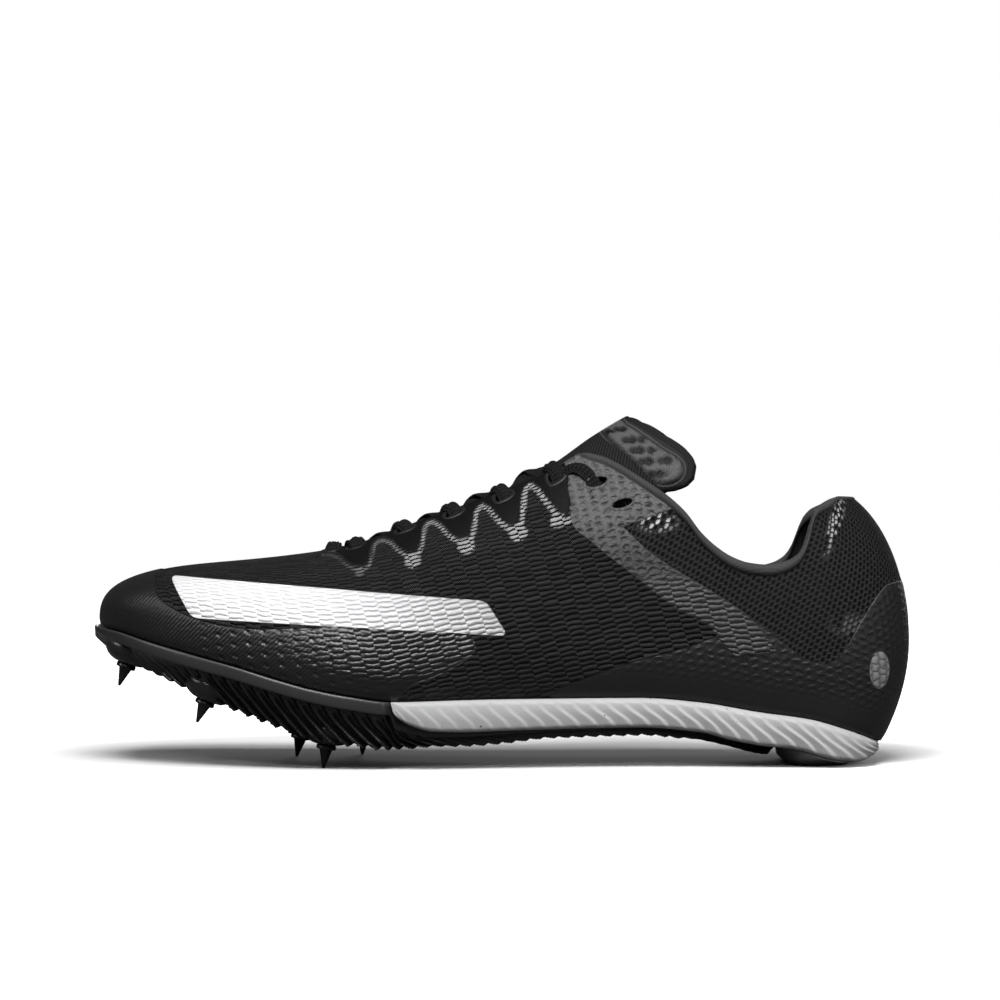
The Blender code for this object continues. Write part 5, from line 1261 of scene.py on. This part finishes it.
def foamMaterial():
    # pale foam with dark specks and fine grain
    made, tree, shader = newMaterial("foam_specked", Specular_IOR_Level=0.35)
    place = objectMm(tree)
    specks = placeGroup(tree, speckGroup, Position=place, Spacing=2.6, Size=0.10, Share=0.35)
    tiny = placeGroup(tree, speckGroup, Position=place, Spacing=1.1, Size=0.10, Share=0.10)
    grain = placeGroup(tree, grainGroup, Position=place, Fine=1.6, Coarse=0.06)
    colour = tint(tree, grain["Mottle"], (0.36, 0.36, 0.365), (0.43, 0.43, 0.435))
    colour = tint(tree, calc(tree, "MAXIMUM", specks["Mask"], tiny["Mask"]), colour, (0.06, 0.06, 0.06))
    tree.links.new(colour, shader.inputs["Base Color"])
    tree.links.new(blend(tree, grain["Height"], 0.45, 0.6), shader.inputs["Roughness"])
    bump(tree, shader, grain["Height"], 0.06)
    return made


midsole = buildMidsole()
midsole.data.materials.append(foamMaterial())
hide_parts("midsole")


print("stage: plate")

plateLook = {
    "pivot": -29.63, "tailWidth": 42.0, "tailReach": 17.0, "rim": 4.4, "stations": 330, "fan": 34,
    "finPitch": 4.9, "finLean": 10.5, "tooth": 1.7, "sideRows": 20, "bottomRows": 16,
}
plateTable = {
    "along": (0.1579, 0.1895, 0.2246, 0.2596, 0.3333, 0.4386, 0.4982, 0.5684, 0.6281, 0.6737, 0.7228, 0.7684,
              0.8140, 0.8596, 0.9123, 0.9544, 1.0000),
    "under": (0.105, 0.170, 0.275, 0.370, 0.480, 0.465, 0.390, 0.340, 0.333, 0.385, 0.480, 0.665, 0.875,
              1.085, 1.330, 1.520, 1.840),
    "foot": (0.80, 0.80, 0.82, 0.86, 0.90, 0.92, 0.90, 0.86, 0.84, 0.82, 0.80, 0.80, 0.80, 0.80, 0.80, 0.80,
             0.80),
}


def plateTop(x, share):
    # just under the foam, and at the footbed ahead of it
    depth = midsoleDepth(x, share)
    under = np.minimum(seatZ(x) - last["gap"] - depth, footbedZ(x, share)) - last["gap"] * 1.8
    return np.where(np.asarray(x) > alongX(midsoleLook["front"]) - 0.2, under, footbedZ(x, share))


def buildPlate():
    # rings from the middle of the top, over the rim band and down the fins, to the middle underneath
    look = plateLook
    pivot = look["pivot"]

    def edgeOf(side, lap):
        # half width: the sole's in front, the narrow tail's behind the foam's end
        cx, cy, dx, dy = frames(side, lap, toeLip, pivot)
        sole = halfWidth(side, cx, 0.0, -last["lip"], toeLip)
        tuck = 1 - ease((-cx + float(alongX(midsoleLook["front"])) + 4.0) / 8.0)
        tail = ease((-cx + pivot) / 60.0)
        rear = look["tailWidth"] / 2 * (1 - tail) + (sole * 0.93 - 2.0) * tail
        wide = sole * (1 - tuck) + rear * tuck
        return cx, cy, dx, dy, wide, sole, oval(dx, dy, look["tailReach"], wide, 2.6)

    def outline(side, lap):
        # the edge seen from above, used to spread the stations
        cx, cy, dx, dy, _, _, full = edgeOf(side, lap)
        return np.stack([cx + dx * full, cy + dy * full], -1)

    laps, sides = loopStations(look["stations"], look["fan"], outline)
    cx, cy, dx, dy, wide, sole, full = edgeOf(sides, laps)
    edge = outline(sides, laps)
    run = np.concatenate([[0], np.cumsum(np.linalg.norm(np.diff(edge, axis=0), axis=1))])
    run = np.abs(run - run[len(run) // 2])
    toeRoom = ease((cx - toeLip) / 16.0)
    under = last["seatHeight"] * readTable(plateTable, "under", cx + dx * full * 0.8)
    edgeTop = plateTop(cx + dx * full, wide / np.maximum(sole, 1e-6))
    tall = edgeTop - under
    band = np.minimum(look["rim"], 0.42 * tall)
    footShare = readTable(plateTable, "foot", cx)
    finShare = np.interp(cx, (-232, -205, -150, -118, -95), (0.25, 1.0, 0.9, 0.5, 0.25))
    finFade = ease((tall - 3.0) / 4.0) * toeRoom * finShare
    teeth = toeRoom * np.interp(cx, (-150, -118, -80, -50, -42), (0.0, 1.0, 1.0, 0.8, 0.0))
    rows = []

    def add(out, z):
        # one ring, out from the axis at height z
        rows.append(np.stack([cx + dx * out, cy + dy * out, z + 0 * out], -1))

    for share in (0.0, 0.25, 0.5, 0.74, 0.88, 0.95):
        add(full * share, plateTop(cx + dx * full * share, share * wide / np.maximum(sole, 1e-6)))
    inset = np.minimum(full, 1.0)
    for turn in np.linspace(90, -90, 9):                      # the rounded rim band
        c, s = math.cos(math.radians(turn)), math.sin(math.radians(turn))
        add(full - inset * 0.45 * (1 - c), edgeTop - band / 2 + band / 2 * np.sign(s) * abs(s) ** 0.5)
    backTop, crestTop = 0.945, 0.955                           # shares of the edge where the fins begin
    for t in np.linspace(0.0, 1.0, look["sideRows"]):
        wave = ribWave((run + look["finLean"] * t * t * 0.9 + 2.0 * t) / look["finPitch"], 0.70) ** 1.6
        back = full * (backTop + (footShare - 0.06 - backTop) * t ** 0.75)
        crest = full * (crestTop + (footShare + 0.03 - crestTop) * t ** 1.6)
        out = back + (crest - back) * wave * finFade * ease(t / 0.12)
        drop = look["tooth"] * wave * np.maximum(finFade, teeth * 0.8) * ease((t - 0.55) / 0.45)
        z = edgeTop - band - (tall - band) * t - drop
        add(out, z)
    wave = ribWave((run + look["finLean"] * 0.9 + 2.0) / look["finPitch"], 0.70) ** 1.6
    for share in np.linspace(0.94, 0.0, look["bottomRows"]):
        keep = ease((share - 0.55) / 0.4)
        z = last["seatHeight"] * readTable(plateTable, "under", cx + dx * full * 0.8 * share)
        drop = look["tooth"] * 0.8 * wave * finFade * keep * (share > 0.9)
        add(full * (footShare - 0.06) * share, z - drop)
    rings = np.stack(rows, 1)
    rim = np.zeros(rings.shape[:2])
    # rim value: 1 on the band's top rows, where a painted highlight line goes, 0.45 on the rest of the band
    rim[:, 6:9], rim[:, 9:15] = 1.0, 0.45
    return makeMesh("nylon_plate", rings, gridFaces(*rings.shape[:2]), values={"rim": rim}, mergeAt=0.01)


spikes = {
    "name": ("toe_lateral", "toe_medial", "front_lateral", "front_medial", "ball_middle", "ball_lateral",
             "ball_medial"),
    "along": (0.9639, 0.9740, 0.8643, 0.8745, 0.7547, 0.7120, 0.6740),
    "across": (-0.130, 0.190, -0.300, 0.325, 0.225, -0.335, 0.330),
    "lean": (20.0, 20.0, 22.0, 22.0, 11.0, 8.0, 4.0),
    "lift": (1.125, 1.170, 0.633, 0.680, 0.0, 0.0, 0.0),
    "length": 8.0, "tip": 0.55, "bossSides": 56, "pinSides": 40,
}


def turnedMesh(name, placed, profile, sides):
    # profiles of (distance along the axis, radius) turned round each axis: p + a d + r (cos u + sin v)
    points, faces, count = [], [], 0
    turn = np.linspace(0, 2 * math.pi, sides, endpoint=False)
    for at, axis in placed:
        axis = unit(np.array(axis, float))
        across = unit(np.cross(axis, (0.0, 1.0, 0.0)))
        other = np.cross(axis, across)
        ring = np.cos(turn)[:, None] * across + np.sin(turn)[:, None] * other
        body = np.array(at) + axis * profile[None, :, :1] + ring[:, None, :] * profile[None, :, 1:]
        rows = len(profile)
        i, j = np.arange(sides)[:, None], np.arange(rows - 1)[None, :]
        n = (i + 1) % sides
        faces.append(np.stack([i * rows + j, n * rows + j, n * rows + j + 1, i * rows + j + 1],
                              -1).reshape(-1, 4) + count)
        points.append(body.reshape(-1, 3))
        count += rows * sides
    return makeMesh(name, np.concatenate(points), np.concatenate(faces), mergeAt=0.002)


def spikeFrames():
    # name, tip and axis (sin lean, 0, cos lean) of each spike
    made = []
    for i, name in enumerate(spikes["name"]):
        lean = math.radians(spikes["lean"][i])
        tip = np.array([float(alongX(spikes["along"][i])), spikes["across"][i] * last["ballWidth"],
                        spikes["lift"][i] * last["seatHeight"] + spikes["tip"] * math.sin(lean)])
        made.append((name, tip, np.array([math.sin(lean), 0.0, math.cos(lean)])))
    return made


def nylonMaterial():
    # glossy nylon, duller and lighter on its rim band, with a painted highlight along the band's top edge
    made, tree, shader = newMaterial("nylon_gloss", Specular_IOR_Level=0.4, Coat_Weight=0.15,
                                     Coat_Roughness=0.12)
    grain = placeGroup(tree, grainGroup, Position=objectMm(tree), Fine=0.9, Coarse=0.05)
    rim = read(tree, "rim")
    dark = tint(tree, grain["Mottle"], (0.007, 0.007, 0.0072), (0.022, 0.022, 0.0225))
    # the rim is tinted lighter, fully on its top rows as a painted highlight
    tree.links.new(tint(tree, rim, dark, (0.036, 0.036, 0.037)), shader.inputs["Base Color"])
    tree.links.new(blend(tree, rim, blend(tree, grain["Mottle"], 0.16, 0.34), 0.4),
                   shader.inputs["Roughness"])
    bump(tree, shader, grain["Height"], 0.05)
    return made


plate = buildPlate()
nylon = nylonMaterial()
plate.data.materials.append(nylon)
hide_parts("spike_plate")
# profiles: distance along the axis and radius
bossProfile = np.array([(0.0, 0.0), (0.0, 4.2), (0.15, 5.0), (0.6, 6.2), (1.5, 7.6), (2.8, 8.8), (4.6, 9.6),
                        (7.0, 9.8), (7.2, 0.0)])
bossPlaces = [(tip + axis * (spikes["length"] + last["gap"]), axis) for _, tip, axis in spikeFrames()]
bosses = turnedMesh("spike_bosses", bossPlaces, bossProfile, spikes["bossSides"])
bosses.data.materials.append(nylon)
coneProfile = np.array([(0.0, 0.0), (0.06, 0.34), (0.3, 0.5), (2.0, 0.95), (6.2, 2.15), (6.42, 2.3),
                        (6.5, 3.1), (6.62, 3.35), (6.9, 3.4), (7.8, 3.4), (8.0, 3.2), (8.02, 2.2),
                        (11.4, 2.2), (11.4, 0.0)])
steel, tree, shader = newMaterial("spike_steel", Metallic=0.85, Specular_IOR_Level=0.5)
grain = placeGroup(tree, grainGroup, Position=objectMm(tree), Fine=1.4, Coarse=0.2)
tree.links.new(tint(tree, grain["Mottle"], (0.02, 0.02, 0.022), (0.06, 0.06, 0.064)),
               shader.inputs["Base Color"])
tree.links.new(blend(tree, grain["Height"], 0.2, 0.42), shader.inputs["Roughness"])
bump(tree, shader, grain["Height"], 0.03)
for name, tip, axis in spikeFrames():
    spike = turnedMesh("pin_" + name, [(tip, axis)], coneProfile, spikes["pinSides"])
    spike.data.materials.append(steel)
    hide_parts("spike_" + name)


print("stage: heel pad and insole")

padLook = {"length": 23.5, "width": 50.0, "sides": 160}


def buildHeelPad():
    # rings of a superellipse with power 3: domed top under the foam, bevelled and flat on the floor
    look = padLook
    turn = np.linspace(0, 2 * math.pi, look["sides"], endpoint=False)
    cosT, sinT = np.cos(turn), np.sin(turn)
    rings = ((0.0, 1, 0), (0.55, 1, 0), (1.0, 1, 0.1), (1.22, 1, 0.0), (1.24, 1, -0.3), (1.10, 0, 2.2),
             (1.02, 0, 1.2), (0.95, 0, 0.5), (0.90, 0, 0.12), (0.84, 0, 0.0), (0.5, 0, 0.0), (0.0, 0, 0.0))
    rows = []
    for share, atTop, lift in rings:
        out = share * oval(cosT, sinT, look["length"] / 2, look["width"] / 2, 3.0)
        x, y = out * cosT, out * sinT
        side = np.where(y < 0, -1.0, 1.0)
        wide = halfWidth(side, np.minimum(x, 0.0), 0.0, -last["lip"], toeLip)
        across = np.where(x > 0, np.arctan2(np.abs(y), np.maximum(x, 1e-9)), quarterTurn)
        radius = np.hypot(np.maximum(x, 0.0), y)
        whole = oval(np.cos(across), np.sin(across), last["heelSeatReach"] + last["heelLip"], wide,
                     last["heelPower"])
        foam = seatZ(x) - midsoleDepth(x, np.clip(radius / whole, 0, 1)) - 2 * last["gap"]
        rows.append(np.stack([x, y, foam - 0.2 + lift if atTop else np.full_like(x, lift)], -1))
    rings = np.stack(rows, 1)
    rings = np.concatenate([rings, rings[:1]])
    return makeMesh("heel_tread", rings, gridFaces(*rings.shape[:2]), mergeAt=0.002)


pad = buildHeelPad()
rubber, tree, shader = newMaterial("tread_rubber", Specular_IOR_Level=0.4)
place = objectMm(tree)
grain = placeGroup(tree, grainGroup, Position=place, Fine=1.2, Coarse=0.08)
tree.links.new(tint(tree, grain["Mottle"], (0.13, 0.13, 0.13), (0.18, 0.18, 0.18)),
               shader.inputs["Base Color"])
tree.links.new(blend(tree, grain["Height"], 0.45, 0.62), shader.inputs["Roughness"])
bump(tree, shader, grain["Height"], 0.08)
pad.data.materials.append(rubber)
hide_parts("heel_pad")


insoleLook = {"clearance": 1.1, "thickness": 3.0, "tipGap": 1.0, "stations": 110, "fan": 26}


def buildInsole():
    # rings a clearance above the footbed, rounded at the top edge: z = footbed + clearance + up thickness
    look = insoleLook
    inset = last["wall"] + look["clearance"]
    tip = toeTip + inset + look["tipGap"]

    def outline(side, lap):
        # the edge seen from above, used to spread the stations
        cx, cy, dx, dy = frames(side, lap, tip)
        full = oval(dx, dy, last["heelSeatReach"] - inset, halfWidth(side, cx, 0.0, inset, tip),
                    last["heelPower"])
        return np.stack([cx + dx * full, cy + dy * full], -1)

    laps, sides = loopStations(look["stations"], look["fan"], outline)
    cx, cy, dx, dy = frames(sides, laps, tip)
    inner, outer = halfWidth(sides, cx, 0.0, inset, tip), halfWidth(sides, cx, 0.0, -last["lip"], toeLip)
    full = oval(dx, dy, last["heelSeatReach"] - inset, inner, last["heelPower"])
    sole = oval(dx, dy, last["heelSeatReach"] + last["heelLip"], outer, last["heelPower"])
    rows = []
    for share, up in ((0, 0), (0.5, 0), (0.97, 0), (1, 0.15), (1, 0.7), (0.99, 0.9), (0.96, 1), (0.8, 1),
                      (0.5, 1), (0.25, 1), (0, 1)):
        at = cx + dx * full * share
        bed = last["seatHeight"] * readTable(footbedTable, "bed", at) - last["gap"]
        z = np.maximum(footbedZ(at, share * full / sole), bed) + look["clearance"] + look["thickness"] * up
        rows.append(np.stack([at, cy + dy * full * share, z], -1))
    rings = np.stack(rows, 1)
    uv = rings[..., :2].copy()
    return makeMesh("insole_board", rings, gridFaces(*rings.shape[:2]), uv, mergeAt=0.01)


insole = buildInsole()
insole.data.materials.append(plainKnit("insole_felt", (0.022, 0.022, 0.023), 0.88, 1.3, 0.15))
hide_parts("insole")


print("stage: stage, light and camera")

studio = {"floor": 3.0, "key": 20.0, "top": 7.0, "front": 5.0, "toe": 3.5, "heel": 3.0, "back": 4.5,
          "fill": 0.065, "bounce": 0.10, "target": (-0.11, 0.0, 0.05)}


def buildFloor():
    # a large disc at z = 0 in rings round the shoe, every face turned up
    count, middle = 96, -110
    turn = np.linspace(0, 2 * math.pi, count, endpoint=False)
    radii = np.array([0.0, 0.5, 1.5, studio["floor"]]) * 1000
    points = np.stack([radii[None, :] * np.cos(turn)[:, None] + middle,
                       radii[None, :] * np.sin(turn)[:, None], np.zeros((count, len(radii)))], -1)
    points = np.concatenate([points, points[:1]])
    mesh = bpy.data.meshes.new("studio_floor")
    mesh.from_pydata((points.reshape(-1, 3) * mm).tolist(), [], gridFaces(*points.shape[:2]).tolist())
    bm = bmesh.new()
    bm.from_mesh(mesh)
    bmesh.ops.remove_doubles(bm, verts=bm.verts, dist=1e-6)
    bmesh.ops.dissolve_degenerate(bm, edges=bm.edges, dist=1e-7)
    for face in bm.faces:
        if face.normal.z < 0:
            face.normal_flip()
    bm.to_mesh(mesh)
    bm.free()
    made = bpy.data.objects.new("studio_floor", mesh)
    scene.collection.objects.link(made)
    return made


floor = buildFloor()
paper, tree, shader = newMaterial("floor_paper", Roughness=0.9, Specular_IOR_Level=0.1)
grain = placeGroup(tree, grainGroup, Position=objectMm(tree), Fine=0.5, Coarse=0.01)
# the paper glows away from the shoe, so that it meets the white background without an edge,
# and is darker in reflections
shown = put(tree, "ShaderNodeLightPath").outputs["Is Camera Ray"]
pale = tint(tree, grain["Mottle"], (0.86, 0.86, 0.86), (0.88, 0.88, 0.88))
tree.links.new(tint(tree, shown, (studio["bounce"],) * 3, pale), shader.inputs["Base Color"])
centred = put(tree, "ShaderNodeMapping", {"Vector": objectMm(tree), "Location": (0.66, -0.45, 0.0),
                                          "Scale": (1 / 170.0, 1 / 100.0, 1.0)})
distance = put(tree, "ShaderNodeVectorMath", {0: centred.outputs[0]}, operation="LENGTH")
away = soften(tree, distance.outputs["Value"], 0.9, 1.3)
tree.links.new(tint(tree, times(tree, away, shown), (0.0, 0.0, 0.0), (1.0, 1.0, 1.0)),
               shader.inputs["Emission Color"])
shader.inputs["Emission Strength"].default_value = 1.0
floor.data.materials.append(paper)


def softbox(name, place, size, power, aim=studio["target"]):
    # an area light at place, turned towards aim
    data = bpy.data.lights.new(name, "AREA")
    data.shape = "RECTANGLE"
    data.size, data.size_y = size
    data.energy = power
    light = bpy.data.objects.new(name, data)
    scene.collection.objects.link(light)
    light.location = place
    light.rotation_euler = (Vector(aim) - Vector(place)).to_track_quat("-Z", "Y").to_euler()
    return light


softbox("light_key", (-0.16, -0.9, 1.1), (0.6, 0.4), studio["key"])
softbox("light_top", (-0.08, -0.55, 1.3), (1.0, 0.3), studio["top"])
softbox("light_front", (-0.25, -1.5, 0.85), (0.6, 0.3), studio["front"])
toeLight = softbox("light_toe", (-1.1, -0.45, 0.55), (0.5, 0.5), studio["toe"], (-0.22, 0.0, 0.04))
toeLight.visible_diffuse = False                               # it only gives the toe's film its sheen
softbox("light_back", (0.25, 1.4, 0.3), (0.9, 0.3), studio["back"])
softbox("light_heel", (0.9, -0.5, 0.5), (0.3, 0.7), studio["heel"])

world = bpy.data.worlds.new("studio_world")
scene.world = world
world.use_nodes = True
tree = world.node_tree
back = tree.nodes["Background"]
ray = put(tree, "ShaderNodeLightPath")
tree.links.new(blend(tree, ray.outputs["Is Camera Ray"], studio["fill"], 1.0), back.inputs["Strength"])
back.inputs["Color"].default_value = (1, 1, 1, 1)

# the photo's view: level, square to the lateral side
photoView = {"place": (-0.11025, -1.2, 0.0915), "lens": 123.4, "sensor": 36.0}
cameraData = bpy.data.cameras.new("photo_camera")
cameraData.lens, cameraData.sensor_width = photoView["lens"], photoView["sensor"]
camera = bpy.data.objects.new("photo_camera", cameraData)
scene.collection.objects.link(camera)
camera.location = photoView["place"]
camera.rotation_euler = (math.radians(90), 0, 0)
scene.camera = camera
scene.view_settings.view_transform = "Standard"
